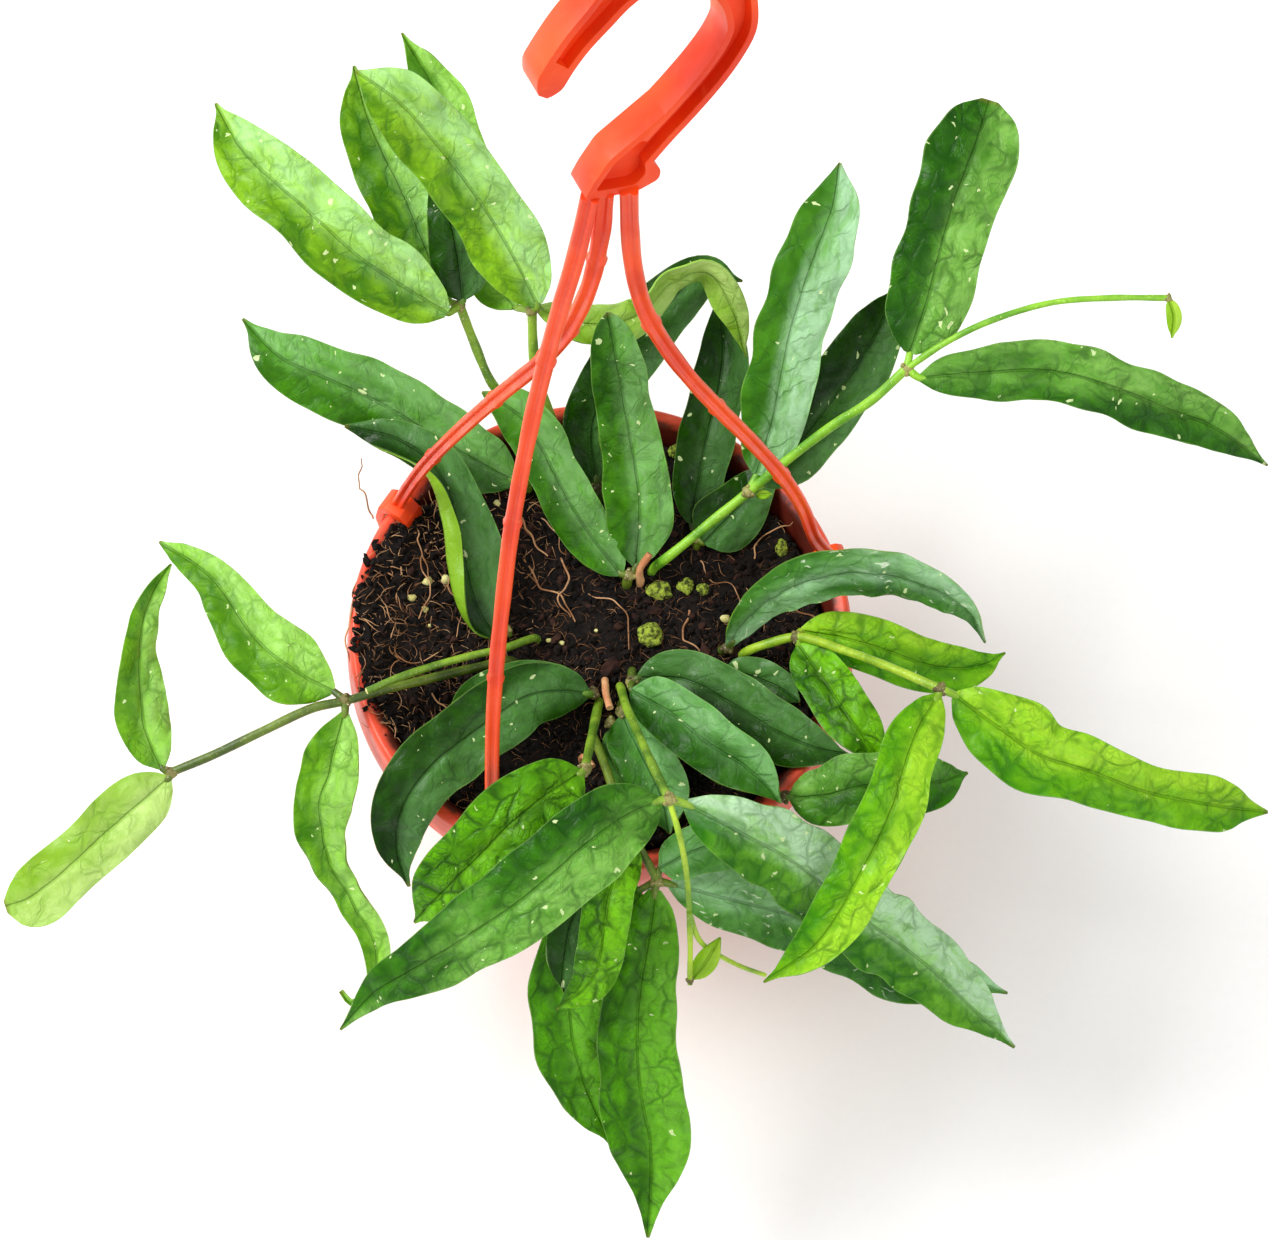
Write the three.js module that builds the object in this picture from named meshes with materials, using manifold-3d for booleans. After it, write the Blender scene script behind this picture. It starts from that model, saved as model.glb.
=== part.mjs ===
// A hoya in a round plastic hanging pot: pot, soil, hanger hook and three straps, leafy stems with long
// flecked leaves, dry stubs and grains of pumice. Millimetres, +Z up, origin at the centre of the foot.
import * as THREE from "three";
import { mergeVertices } from "three/addons/utils/BufferGeometryUtils.js";
import Module from "manifold-3d";

const wasm = await Module();
wasm.setup();

// ---- Pot --------------------------------------------------------------------------------------------
const POT_HEIGHT = 115; // foot to the crest of the rim
const FOOT_RADIUS = 52;
const RIM_CREST_RADIUS = 77; // the raised middle band of the rim
const RIM_RADIUS = 80; // lower edge of the outer band, the widest place
const MOUTH_RADIUS = 73;
const SKIRT = 14.8; // the outer band hangs this far below the crest
const WALL = 1.6;
const NECK_RADIUS = MOUTH_RADIUS - 1.5; // outside of the wall where it meets the rim
const SKIRT_FOOT = POT_HEIGHT - SKIRT;
const CREST_ROUND = 1.3; // half width of the rounded crest
const FOOT_THICKNESS = 2.6;
const FOOT_ROUND = 4; // the foot's edge is rounded this far in and up
const DRAIN_HOLES = 6;
const DRAIN_RADIUS = 3.5;
const DRAIN_CIRCLE = 36;
const DRAIN_SIDES = 10;
const POT_SEGMENTS = 32;

// ---- Soil -------------------------------------------------------------------------------------------
const SOIL_HEIGHT = 105;
const SOIL_MOUND = 6; // it is heaped up this much at the left wall
const MOUND_REACH = [15, 68]; // the mound rises between these distances to the left of the axis
const SOIL_BANK = 3.5; // and it is heaped up this much all round the wall
const BANK_REACH = [58, 70]; // the bank rises between these distances from the axis
const SOIL_RINGS = 4;
const SOIL_SPOKES = 30;
const ROOT_DEPTH = 13; // how deep a stem's foot stands in its hole
const UPRIGHT = 2.5; // a stem is upright this far out of the soil
const CLEARANCE = 0.35;
const FLOOR_RADIUS = FOOT_RADIUS - 5; // inside of the foot
const FLOOR_ROUND = 3; // height of the round between the pot's floor and its wall

// ---- Hanger -----------------------------------------------------------------------------------------
const HOOK_FOOT_HEIGHT = 365; // middle of the block's lower front edge
const HOOK_LEAN = 20; // degrees back from upright
const HOOK_TURN = 25; // degrees about the upright axis
const HOOK_WIDTH = 6.4;
const HOOK_DEPTH = 9.5;
const HOOK_FLANGE = 1.5; // wall round the hollow front
const HOOK_POCKET = 3.6;
const HOOK_TIP = 0.4; // share of the width left at the hook's end
const STRAP_WIDTH = 4.4;
const STRAP_THICKNESS = 3;
const STRAP_GROOVE = 0.5;
const CLIP_WIDTH = 8;
const CLIP_FOOT = POT_HEIGHT - 8; // lower end of the clip's inner leg
const CLIP_SEAT = POT_HEIGHT + 2.6; // where a strap runs into its clip
const NOTCH_DEPTH = 9;
const NOTCH_HEIGHT = 20;

// ---- Leaves and stems -------------------------------------------------------------------------------
const BLADE = 1; // thickness of a leaf
const BLADE_ROWS = 8;
const SMALL_LEAF = 8; // width below which a leaf is built of fewer rows
const SMALL_BLADE_ROWS = 3;
const ROLLED_OVER = 60; // degrees of curl
const LEAST_HALF = 0.9; // half width of a blade at its very ends
const EARLY_BEND = 0.12; // a blade's bend is this share of the length ahead of its middle
const LEAST_FOLD = 0.35; // share of the fold that is left at the tip
const RIPPLE_SHIFT = 1.7; // radians between the ripples of a leaf's two edges
const STEM_SIDES = 5;
const STEM_STEPS = 1.3; // rings for each point of a stem's route
const STALK_SIDES = 4;
const STALK_RADIUS = 1.4;
const NODE_RADIUS = 2.3; // swelling where leaves leave a stem
const HOLE_SIDES = 6;
const HOLE_MARGIN = 1.1;
const CUT_STEM_RADIUS = 1.3;
const STUB_RADIUS = 1.3;
const GRAIN_RISE = 0.25; // a grain's middle stands this share of its height above the soil

// ---- Colours ----------------------------------------------------------------------------------------
const POT_COLOUR = "#e8553a";
const HANGER_COLOUR = "#ff5a35";
const SOIL_COLOUR = "#1d1411";
const CUT_STEM_COLOUR = "#5a8030";
const STUB_COLOUR = "#c98f63";
const GRAIN_COLOUR = "#97b23c";

// Where the plant is looked at from. The places of stems and leaves are given as points of a
// 1268 x 1240 picture seen from there, each with its height above the pot's foot in millimetres.
const EYE_ELEVATION = THREE.MathUtils.degToRad(68.14);
const EYE_ROLL = THREE.MathUtils.degToRad(3.48);
const EYE_DISTANCE = 748.5;
const AIM = new THREE.Vector3(10.06, 3.12, POT_HEIGHT);
const FOCAL_PIXELS = 2400;
const PICTURE_CENTRE = [634, 620];

const toEye = new THREE.Vector3(0, -Math.cos(EYE_ELEVATION), Math.sin(EYE_ELEVATION));
const EYE = AIM.clone().addScaledVector(toEye, EYE_DISTANCE);
const pictureRight = new THREE.Vector3(1, 0, 0).applyAxisAngle(toEye, EYE_ROLL);
const pictureUp = new THREE.Vector3().crossVectors(toEye, pictureRight);

// The point of the picture's ray through (px, py) that lies at a height above the foot.
function at(px, py, height) {
  const ray = toEye.clone().negate();
  ray.addScaledVector(pictureRight, (px - PICTURE_CENTRE[0]) / FOCAL_PIXELS);
  ray.addScaledVector(pictureUp, (PICTURE_CENTRE[1] - py) / FOCAL_PIXELS);
  return EYE.clone().addScaledVector(ray, (height - EYE.z) / ray.z);
}

// ---- Solids -----------------------------------------------------------------------------------------
function solid(geometry) {
  const bare = geometry.index ? geometry.toNonIndexed() : geometry.clone();
  const points = new THREE.BufferGeometry().setAttribute("position", bare.getAttribute("position"));
  const merged = mergeVertices(points, 1e-4);
  return new wasm.Manifold(
    new wasm.Mesh({
      numProp: 3,
      vertProperties: merged.attributes.position.array,
      triVerts: new Uint32Array(merged.index.array),
    }),
  );
}

function meshOf(name, body, colour, roughness) {
  const { vertProperties, triVerts } = body.getMesh();
  const geometry = new THREE.BufferGeometry()
    .setAttribute("position", new THREE.BufferAttribute(vertProperties, 3))
    .setIndex(new THREE.BufferAttribute(triVerts, 1));
  geometry.computeVertexNormals();
  const material = new THREE.MeshStandardMaterial({ color: colour, roughness, metalness: 0 });
  const mesh = new THREE.Mesh(geometry, material);
  mesh.name = name;
  return mesh;
}

const union = (bodies) => bodies.reduce((whole, body) => whole.add(body));

function polygon(sides, radius) {
  const corners = Array.from({ length: sides }, (_, i) => {
    const angle = (2 * Math.PI * i) / sides;
    return new THREE.Vector2(radius * Math.cos(angle), radius * Math.sin(angle));
  });
  return new THREE.Shape(corners);
}

const smoothLine = (points) => new THREE.CatmullRomCurve3(points, false, "centripetal");

function sweep(shape, points, stepsPerPoint) {
  const steps = Math.round((points.length - 1) * stepsPerPoint);
  const options = { steps, bevelEnabled: false, extrudePath: smoothLine(points) };
  return solid(new THREE.ExtrudeGeometry(shape, options));
}

const tube = (points, radius) => sweep(polygon(STEM_SIDES, radius), points, STEM_STEPS);

function ball(centre, radius) {
  const geometry = new THREE.IcosahedronGeometry(radius);
  return solid(geometry.translate(centre.x, centre.y, centre.z));
}

// A value read off a smooth line through [place, value] stations.
function along(stations, t) {
  const last = stations.length - 1;
  const i = Math.min(last - 1, Math.max(0, stations.findIndex(([place]) => place > t) - 1));
  const k = t >= stations[last][0] ? last - 1 : i;
  const slope = (n) => {
    const [a, b] = [stations[Math.max(0, n - 1)], stations[Math.min(last, n + 1)]];
    return (b[1] - a[1]) / (b[0] - a[0]);
  };
  const [[t0, v0], [t1, v1]] = [stations[k], stations[k + 1]];
  const span = t1 - t0;
  const u = Math.min(1, (t - t0) / span);
  const [m0, m1] = [slope(k) * span, slope(k + 1) * span];
  return v0 + m0 * u + (3 * (v1 - v0) - 2 * m0 - m1) * u ** 2 + (2 * (v0 - v1) + m0 + m1) * u ** 3;
}

// ---- Pot --------------------------------------------------------------------------------------------
function pot() {
  const profile = [
    [0, 0],
    [FOOT_RADIUS - FOOT_ROUND, 0],
    [FOOT_RADIUS - FOOT_ROUND / 5, FOOT_ROUND / 4],
    [FOOT_RADIUS, FOOT_ROUND],
    [NECK_RADIUS, SKIRT_FOOT],
    [NECK_RADIUS + 1, SKIRT_FOOT + 4],
    [RIM_RADIUS - WALL, SKIRT_FOOT + 3.4],
    [RIM_RADIUS - WALL, SKIRT_FOOT],
    [RIM_RADIUS, SKIRT_FOOT],
    [RIM_RADIUS - 0.4, POT_HEIGHT - 8.5],
    [RIM_CREST_RADIUS + CREST_ROUND, POT_HEIGHT - 1.2],
    [RIM_CREST_RADIUS, POT_HEIGHT],
    [RIM_CREST_RADIUS - CREST_ROUND, POT_HEIGHT - 0.4],
    [MOUTH_RADIUS, POT_HEIGHT - 2.2],
    [NECK_RADIUS - WALL + 1, SKIRT_FOOT + 6],
    [NECK_RADIUS - WALL, SKIRT_FOOT],
    [FOOT_RADIUS - WALL, FOOT_THICKNESS + FLOOR_ROUND],
    [FLOOR_RADIUS, FOOT_THICKNESS],
    [0, FOOT_THICKNESS],
  ];
  const outline = profile.map(([r, z]) => new THREE.Vector2(r, z));
  let body = solid(new THREE.LatheGeometry(outline, POT_SEGMENTS).rotateX(Math.PI / 2));
  for (let i = 0; i < DRAIN_HOLES; i++) {
    const angle = (2 * Math.PI * i) / DRAIN_HOLES;
    const [x, y] = [DRAIN_CIRCLE * Math.cos(angle), DRAIN_CIRCLE * Math.sin(angle)];
    const depth = 3 * FOOT_THICKNESS;
    const drain = new THREE.CylinderGeometry(DRAIN_RADIUS, DRAIN_RADIUS, depth, DRAIN_SIDES);
    body = body.subtract(solid(drain.rotateX(Math.PI / 2).translate(x, y, 0)));
  }
  return body;
}

// ---- Soil -------------------------------------------------------------------------------------------
function soilHeight(x, y) {
  const mound = SOIL_MOUND * THREE.MathUtils.smoothstep(-x, ...MOUND_REACH);
  const bank = SOIL_BANK * THREE.MathUtils.smoothstep(Math.hypot(x, y), ...BANK_REACH);
  const unevenness = 0.9 * Math.sin(x / 11) * Math.cos(y / 9) + 0.6 * Math.cos(x / 6 + y / 7);
  return SOIL_HEIGHT + Math.max(mound, bank) + unevenness;
}

// Where the picture's ray through (px, py) meets the soil.
function ground(px, py) {
  let point = at(px, py, SOIL_HEIGHT);
  for (let i = 0; i < 4; i++) point = at(px, py, soilHeight(point.x, point.y));
  return point;
}

// Radius of the pot's inside at a height, less the clearance that soil keeps from the wall.
function soilRadius(height) {
  const neck = NECK_RADIUS - WALL;
  const wallFoot = FOOT_RADIUS - WALL;
  const wallFootHeight = FOOT_THICKNESS + FLOOR_ROUND;
  const rise = (height - wallFootHeight) / (SKIRT_FOOT - wallFootHeight);
  return Math.min(wallFoot + (neck - wallFoot) * rise, neck) - CLEARANCE;
}

function soil() {
  const vertices = [];
  const faces = [];
  const underside = FOOT_THICKNESS + CLEARANCE;
  const bottomRadius = FLOOR_RADIUS - 2 * CLEARANCE;
  const shoulder = FOOT_THICKNESS + FLOOR_ROUND + 1;
  const ring = (radius, height) => {
    const start = vertices.length / 3;
    for (let i = 0; i < SOIL_SPOKES; i++) {
      const angle = (2 * Math.PI * i) / SOIL_SPOKES;
      const [x, y] = [radius * Math.cos(angle), radius * Math.sin(angle)];
      vertices.push(x, y, height ?? soilHeight(x, y));
    }
    return start;
  };
  const band = (lower, upper) => {
    for (let i = 0; i < SOIL_SPOKES; i++) {
      const next = (i + 1) % SOIL_SPOKES;
      faces.push(lower + i, lower + next, upper + next, lower + i, upper + next, upper + i);
    }
  };
  const cap = (start, height, up) => {
    const centre = vertices.length / 3;
    vertices.push(0, 0, height);
    for (let i = 0; i < SOIL_SPOKES; i++) {
      const next = (i + 1) % SOIL_SPOKES;
      faces.push(centre, start + (up ? i : next), start + (up ? next : i));
    }
  };
  const bottom = ring(bottomRadius, underside);
  cap(bottom, underside, false);
  let previous = bottom;
  for (const height of [shoulder, SKIRT_FOOT]) {
    const next = ring(soilRadius(height), height);
    band(previous, next);
    previous = next;
  }
  for (let i = SOIL_RINGS; i > 0; i--) {
    const next = ring((soilRadius(SKIRT_FOOT) * i) / SOIL_RINGS);
    band(previous, next);
    previous = next;
  }
  cap(previous, soilHeight(0, 0), true);
  const geometry = new THREE.BufferGeometry();
  geometry.setAttribute("position", new THREE.Float32BufferAttribute(vertices, 3));
  return solid(geometry.setIndex(faces));
}

// ---- Hanger -----------------------------------------------------------------------------------------
// Middle line of the hook's front face in its own plane: up from the block, over, and down to the tip.
// The third number is the band's width there, as a share of HOOK_WIDTH: it widens over the top.
const HOOK_LINE = [
  [6.5, 7, 1],
  [12.5, 12, 1],
  [19, 17, 1],
  [25.5, 22.5, 1],
  [30, 27.3, 1],
  [32.6, 31.6, 1.05],
  [33, 36, 1.12],
  [32.3, 40.4, 1.22],
  [30, 44.8, 1.32],
  [26.4, 48.4, 1.38],
  [21.8, 50.9, 1.4],
  [16.8, 52, 1.38],
  [11.8, 51.2, 1.32],
  [7.2, 48.8, 1.22],
  [2.8, 45.3, 1.12],
  [-2.6, 41, 1.04],
  [-6.6, 37, 1],
  [-9.3, 33.8, 1],
  [-11.6, 31, 1],
];

// The band along the hook's line, trimmed on both sides by a margin and tapered at the tip.
function hookBand(margin, length) {
  const line = HOOK_LINE.slice(0, length);
  const [left, right] = [[], []];
  line.forEach(([u, v, share], i) => {
    const before = line[Math.max(0, i - 1)];
    const after = line[Math.min(line.length - 1, i + 1)];
    const across = new THREE.Vector2(before[1] - after[1], after[0] - before[0]).normalize();
    const taper = i === HOOK_LINE.length - 1 ? HOOK_TIP : 1;
    const half = (HOOK_WIDTH / 2) * share * taper - margin;
    left.push(new THREE.Vector2(u, v).addScaledVector(across, half));
    right.unshift(new THREE.Vector2(u, v).addScaledVector(across, -half));
  });
  return new THREE.Shape([...left, ...right]);
}

// Outline of the block at the hook's foot, with a small knob at its right corner.
const BLOCK_OUTLINE = [
  [-6.4, 1.6],
  [5.7, -0.4],
  [10.9, 0.9],
  [11.6, 3.4],
  [9.6, 6.2],
  [13.5, 9.6],
  [15.4, 13],
  [14.8, 17.6],
  [0.6, 10],
  [-3.8, 5.2],
];
const POCKET_OUTLINE = [
  [-3.6, 3.1],
  [5.4, 1.5],
  [8, 3.4],
  [8.2, 6.8],
  [11.6, 9.8],
  [8.2, 12.4],
  [1.6, 8.8],
  [-2.2, 4.6],
];

function slab(shape, depth) {
  return solid(new THREE.ExtrudeGeometry(shape, { depth, bevelEnabled: false }));
}

const outlineShape = (points) => new THREE.Shape(points.map(([u, v]) => new THREE.Vector2(u, v)));

function hook(strapEnds) {
  const whole = HOOK_LINE.length;
  const block = slab(outlineShape(BLOCK_OUTLINE), HOOK_DEPTH);
  const body = slab(hookBand(0, whole), HOOK_DEPTH).add(block);
  const channel = slab(hookBand(HOOK_FLANGE, whole - 2), HOOK_DEPTH);
  const hollow = channel.add(slab(outlineShape(POCKET_OUTLINE), HOOK_DEPTH));
  const pocket = hollow.translate([0, 0, HOOK_DEPTH - HOOK_POCKET]);
  // The slabs stand on their plane with the front at the top: the front face comes to the plane.
  const place = new THREE.Matrix4().makeTranslation(0, 0, HOOK_FOOT_HEIGHT);
  place.multiply(new THREE.Matrix4().makeRotationZ(THREE.MathUtils.degToRad(HOOK_TURN)));
  place.multiply(new THREE.Matrix4().makeRotationX(THREE.MathUtils.degToRad(90 - HOOK_LEAN)));
  place.multiply(new THREE.Matrix4().makeTranslation(0, 0, -HOOK_DEPTH));
  const placed = body.subtract(pocket).transform(place.elements);
  return strapEnds.reduce((left, end) => left.subtract(end), placed);
}

// Routes of the straps from the block down to the clips on the rim.
const STRAP_ROUTES = {
  right: [
    [629, 190, 366],
    [630, 230, 350],
    [634, 270, 332],
    [645, 310, 311],
    [665, 345, 291],
    [690, 378, 270],
    [720, 410, 247],
    [752, 442, 221],
    [783, 477, 192],
    [803, 508, 165],
    [816, 540, 137],
    [822.5, 556.5, 121],
  ],
  left: [
    [605, 192, 366],
    [600, 240, 345],
    [588, 290, 319],
    [565, 335, 291],
    [540, 362, 269],
    [500, 395, 237],
    [460, 430, 199],
    [428, 462, 163],
    [410, 485, 137],
    [402, 503, 121],
  ],
  front: [
    [590, 197, 366],
    [575, 260, 344],
    [560, 310, 326],
    [545, 365, 304],
    [532, 420, 282],
    [520, 480, 259],
    [510, 540, 236],
    [503, 600, 214],
    [497, 660, 192],
    [493, 720, 169],
    [492, 780, 145],
    [493, 832, 121],
  ],
};

// Flat section with a groove along the middle of its outer face.
function strapSection(grow) {
  const [w, t] = [STRAP_WIDTH / 2 + grow, STRAP_THICKNESS / 2 + grow];
  const groove = grow ? 0 : STRAP_GROOVE;
  return new THREE.Shape([
    new THREE.Vector2(-w, -0.5 * t),
    new THREE.Vector2(0, -t),
    new THREE.Vector2(w, -0.5 * t),
    new THREE.Vector2(0.8 * w, t),
    new THREE.Vector2(0, t - groove),
    new THREE.Vector2(-0.8 * w, t),
  ]);
}

// A saddle that straddles the rim and catches under its skirt, in the plane through the pot's axis.
const CLIP_OUTLINE = [
  [MOUTH_RADIUS - 4, CLIP_FOOT],
  [MOUTH_RADIUS - 2.7, CLIP_FOOT],
  [MOUTH_RADIUS - 0.9, POT_HEIGHT - 1.6],
  [RIM_CREST_RADIUS - 1.6, POT_HEIGHT + 0.3],
  [RIM_CREST_RADIUS + 0.3, POT_HEIGHT + 0.5],
  [RIM_CREST_RADIUS + 1.9, POT_HEIGHT - 0.8],
  [RIM_RADIUS + 0.2, POT_HEIGHT - 8.5],
  [RIM_RADIUS + 0.4, SKIRT_FOOT - 0.4],
  [RIM_RADIUS - 1.8, SKIRT_FOOT - 0.4],
  [RIM_RADIUS - 1.8, SKIRT_FOOT - 2],
  [RIM_RADIUS + 2, SKIRT_FOOT - 2],
  [RIM_RADIUS + 3, POT_HEIGHT - 8],
  [RIM_CREST_RADIUS + 4, POT_HEIGHT + 1.6],
  [RIM_CREST_RADIUS + 1.5, POT_HEIGHT + 4],
  [MOUTH_RADIUS, POT_HEIGHT + 4],
  [MOUTH_RADIUS - 3, POT_HEIGHT + 1],
];

function strap(route) {
  const points = route.map((place) => at(...place));
  const foot = points[points.length - 1];
  const azimuth = Math.atan2(foot.y, foot.x);
  const outward = new THREE.Vector3(Math.cos(azimuth), Math.sin(azimuth), 0);
  const end = outward.multiplyScalar(RIM_CREST_RADIUS - 1).setZ(CLIP_SEAT);
  const clip = slab(outlineShape(CLIP_OUTLINE), CLIP_WIDTH);
  const place = new THREE.Matrix4().makeRotationZ(azimuth);
  place.multiply(new THREE.Matrix4().makeRotationX(Math.PI / 2));
  place.multiply(new THREE.Matrix4().makeTranslation(0, 0, -CLIP_WIDTH / 2));
  return sweep(strapSection(0), [...points.slice(0, -1), end], 2).add(clip.transform(place.elements));
}

// Room in the soil for the inner leg of a strap's clip.
function clipNotch(route) {
  const foot = at(...route[route.length - 1]);
  const width = CLIP_WIDTH + 2 * CLEARANCE;
  const notch = new THREE.BoxGeometry(NOTCH_DEPTH, width, NOTCH_HEIGHT);
  notch.translate(MOUTH_RADIUS, 0, CLIP_FOOT - CLEARANCE + NOTCH_HEIGHT / 2);
  return solid(notch.rotateZ(Math.atan2(foot.y, foot.x)));
}

function strapSocket(route) {
  const [first, second, third] = route.map((place) => at(...place));
  const beyond = first.clone().addScaledVector(first.clone().sub(second).normalize(), CLEARANCE);
  return sweep(strapSection(CLEARANCE), [beyond, second, third], 2);
}

// ---- Leaves -----------------------------------------------------------------------------------------
// Share of the full width at places from base to tip.
const OBLONG = [
  [0, 0.14], [0.04, 0.5], [0.13, 0.84], [0.32, 1], [0.6, 0.98], [0.78, 0.82], [0.9, 0.44],
  [0.96, 0.14], [1, 0.04],
];
const SHOULDERED = [
  [0, 0.14], [0.04, 0.5], [0.13, 0.86], [0.3, 1], [0.5, 0.96], [0.7, 0.98], [0.84, 0.84], [0.92, 0.5],
  [0.97, 0.2], [1, 0.04],
];
const TAPERED = [
  [0, 0.14], [0.05, 0.55], [0.14, 0.92], [0.26, 1], [0.5, 0.86], [0.75, 0.78], [0.88, 0.66],
  [0.96, 0.38], [1, 0.06],
];
const OVATE = [
  [0, 0.14], [0.04, 0.55], [0.13, 0.9], [0.28, 1], [0.5, 0.9], [0.7, 0.66], [0.86, 0.36], [0.94, 0.14],
  [1, 0.03],
];
const LANCE = [
  [0, 0.12], [0.06, 0.42], [0.2, 0.82], [0.42, 1], [0.6, 0.92], [0.78, 0.6], [0.9, 0.26], [0.96, 0.1],
  [1, 0.04],
];
const OBOVATE = [
  [0, 0.14], [0.05, 0.45], [0.18, 0.76], [0.4, 0.86], [0.62, 0.98], [0.72, 0.96], [0.82, 0.62],
  [0.91, 0.26], [1, 0.04],
];
const BLUNT = [
  [0, 0.14], [0.04, 0.5], [0.13, 0.88], [0.3, 1], [0.5, 0.93], [0.7, 1], [0.85, 0.96], [0.94, 0.7],
  [1, 0.2],
];
const WAISTED = [
  [0, 0.14], [0.04, 0.55], [0.13, 0.9], [0.26, 1], [0.44, 0.8], [0.6, 0.7], [0.75, 0.72], [0.86, 0.6],
  [0.94, 0.24], [1, 0.04],
];
const NARROWING = [
  [0, 0.14], [0.06, 0.6], [0.16, 0.94], [0.28, 1], [0.44, 0.84], [0.6, 0.64], [0.75, 0.5],
  [0.88, 0.32], [0.95, 0.15], [1, 0.04],
];
const TAILED = [
  [0, 0.14], [0.06, 0.6], [0.15, 0.95], [0.28, 1], [0.42, 0.74], [0.55, 0.56], [0.68, 0.52],
  [0.78, 0.42], [0.86, 0.2], [0.93, 0.12], [1, 0.08],
];

// A leaf's midrib is a line through picture points with heights, from its base to its tip, and roll is
// its turn about that line, in degrees, away from facing the eye, at even places from base to tip.
// fold lifts its left and right halves, and curl lifts their outer halves further, in degrees.
const USUAL = { roll: [0], fold: [8, 8], curl: [-14, -14], wave: 0.8, waves: 2.5 };

function leaf(path, width, shape, habit = {}) {
  return { path, width, shape, ...USUAL, ...habit };
}

// The line across a blade as [x, y] points, x to the right and y to the upper side: five where a half
// rolls over, otherwise the two edges and the midrib.
function bladeSection({ fold, curl, wave, waves }, half, t) {
  const side = (sign, k) => {
    const fade = Math.sin(Math.PI * Math.min(1, EARLY_BEND + t));
    const inner = THREE.MathUtils.degToRad(fold[k] * Math.max(LEAST_FOLD, fade));
    const outer = inner + THREE.MathUtils.degToRad(curl[k] * Math.max(0, fade));
    const [x, y] = [(sign * half * Math.cos(inner)) / 2, (half * Math.sin(inner)) / 2];
    const ripple = wave * Math.sin(2 * Math.PI * waves * t + RIPPLE_SHIFT * k) * Math.sin(Math.PI * t);
    const edge = [x + (sign * half * Math.cos(outer)) / 2, y + (half * Math.sin(outer)) / 2 + ripple];
    return { middle: [x, y], edge };
  };
  const [left, right] = [side(-1, 0), side(1, 1)];
  const rolled = Math.max(...curl.map(Math.abs)) > ROLLED_OVER;
  if (!rolled) return [left.edge, [0, 0], right.edge];
  return [left.edge, left.middle, [0, 0], right.middle, right.edge];
}

const spineOf = (spec) => smoothLine(spec.path.map((place) => at(...place)));

function blade(spec) {
  const rows = spec.width > SMALL_LEAF ? BLADE_ROWS : SMALL_BLADE_ROWS;
  const spine = spineOf(spec);
  const rollStations = spec.roll.map((angle, i) => [i / Math.max(1, spec.roll.length - 1), angle]);
  const [top, bottom] = [[], []];
  let columns = 0;
  for (let row = 0; row <= rows; row++) {
    const t = row / rows;
    const middle = spine.getPointAt(t);
    const forward = spine.getTangentAt(t);
    const roll = spec.roll.length > 1 ? along(rollStations, t) : spec.roll[0];
    const across = new THREE.Vector3().crossVectors(forward, EYE.clone().sub(middle)).normalize();
    across.applyAxisAngle(forward, THREE.MathUtils.degToRad(roll));
    const upper = new THREE.Vector3().crossVectors(across, forward);
    const half = Math.max(LEAST_HALF, (spec.width / 2) * along(spec.shape, t));
    const line = bladeSection(spec, half, t);
    columns = line.length;
    line.forEach(([x, y], i) => {
      const [before, after] = [line[Math.max(0, i - 1)], line[Math.min(columns - 1, i + 1)]];
      const normal = new THREE.Vector2(before[1] - after[1], after[0] - before[0]).normalize();
      for (const [sheet, rise] of [[top, BLADE / 2], [bottom, -BLADE / 2]]) {
        const [u, v] = [x + rise * normal.x, y + rise * normal.y];
        sheet.push(middle.clone().addScaledVector(across, u).addScaledVector(upper, v));
      }
    });
  }
  const vertices = [...top, ...bottom];
  const under = top.length;
  const faces = [];
  const quad = (a, b, c, d) => faces.push(a, b, c, a, c, d);
  for (let row = 0; row < rows; row++) {
    const start = row * columns;
    for (let i = start; i < start + columns - 1; i++) {
      quad(i, i + 1, i + 1 + columns, i + columns);
      quad(under + i + 1, under + i, under + i + columns, under + i + 1 + columns);
    }
    const end = start + columns - 1;
    quad(start, start + columns, under + start + columns, under + start);
    quad(end + columns, end, under + end, under + end + columns);
  }
  const tip = rows * columns;
  for (let i = 0; i < columns - 1; i++) {
    quad(i + 1, i, under + i, under + i + 1);
    quad(tip + i, tip + i + 1, under + tip + i + 1, under + tip + i);
  }
  const geometry = new THREE.BufferGeometry().setFromPoints(vertices);
  return solid(geometry.setIndex(faces));
}

// The short stalk from a node of the stem into the base of a blade.
function stalk(node, spec) {
  const spine = spineOf(spec);
  const from = at(...node);
  const base = spine.getPointAt(0);
  const inside = spine.getPointAt(0.05);
  return sweep(polygon(STALK_SIDES, STALK_RADIUS), [from, base, inside], 1);
}

// ---- Leafy stems ------------------------------------------------------------------------------------
const FOOT = "foot"; // stands for the height of the soil at that place

// The points of a stem. One whose first height is FOOT starts with a straight foot down in the soil.
function stemPoints(route) {
  const [[px, py, height]] = route;
  if (height !== FOOT) return route.map((place) => at(...place));
  const surface = ground(px, py);
  const depths = [ROOT_DEPTH, ROOT_DEPTH / 2, -UPRIGHT];
  const foot = depths.map((depth) => surface.clone().setZ(surface.z - depth));
  return [...foot, ...route.slice(1).map((place) => at(...place))];
}

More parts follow.
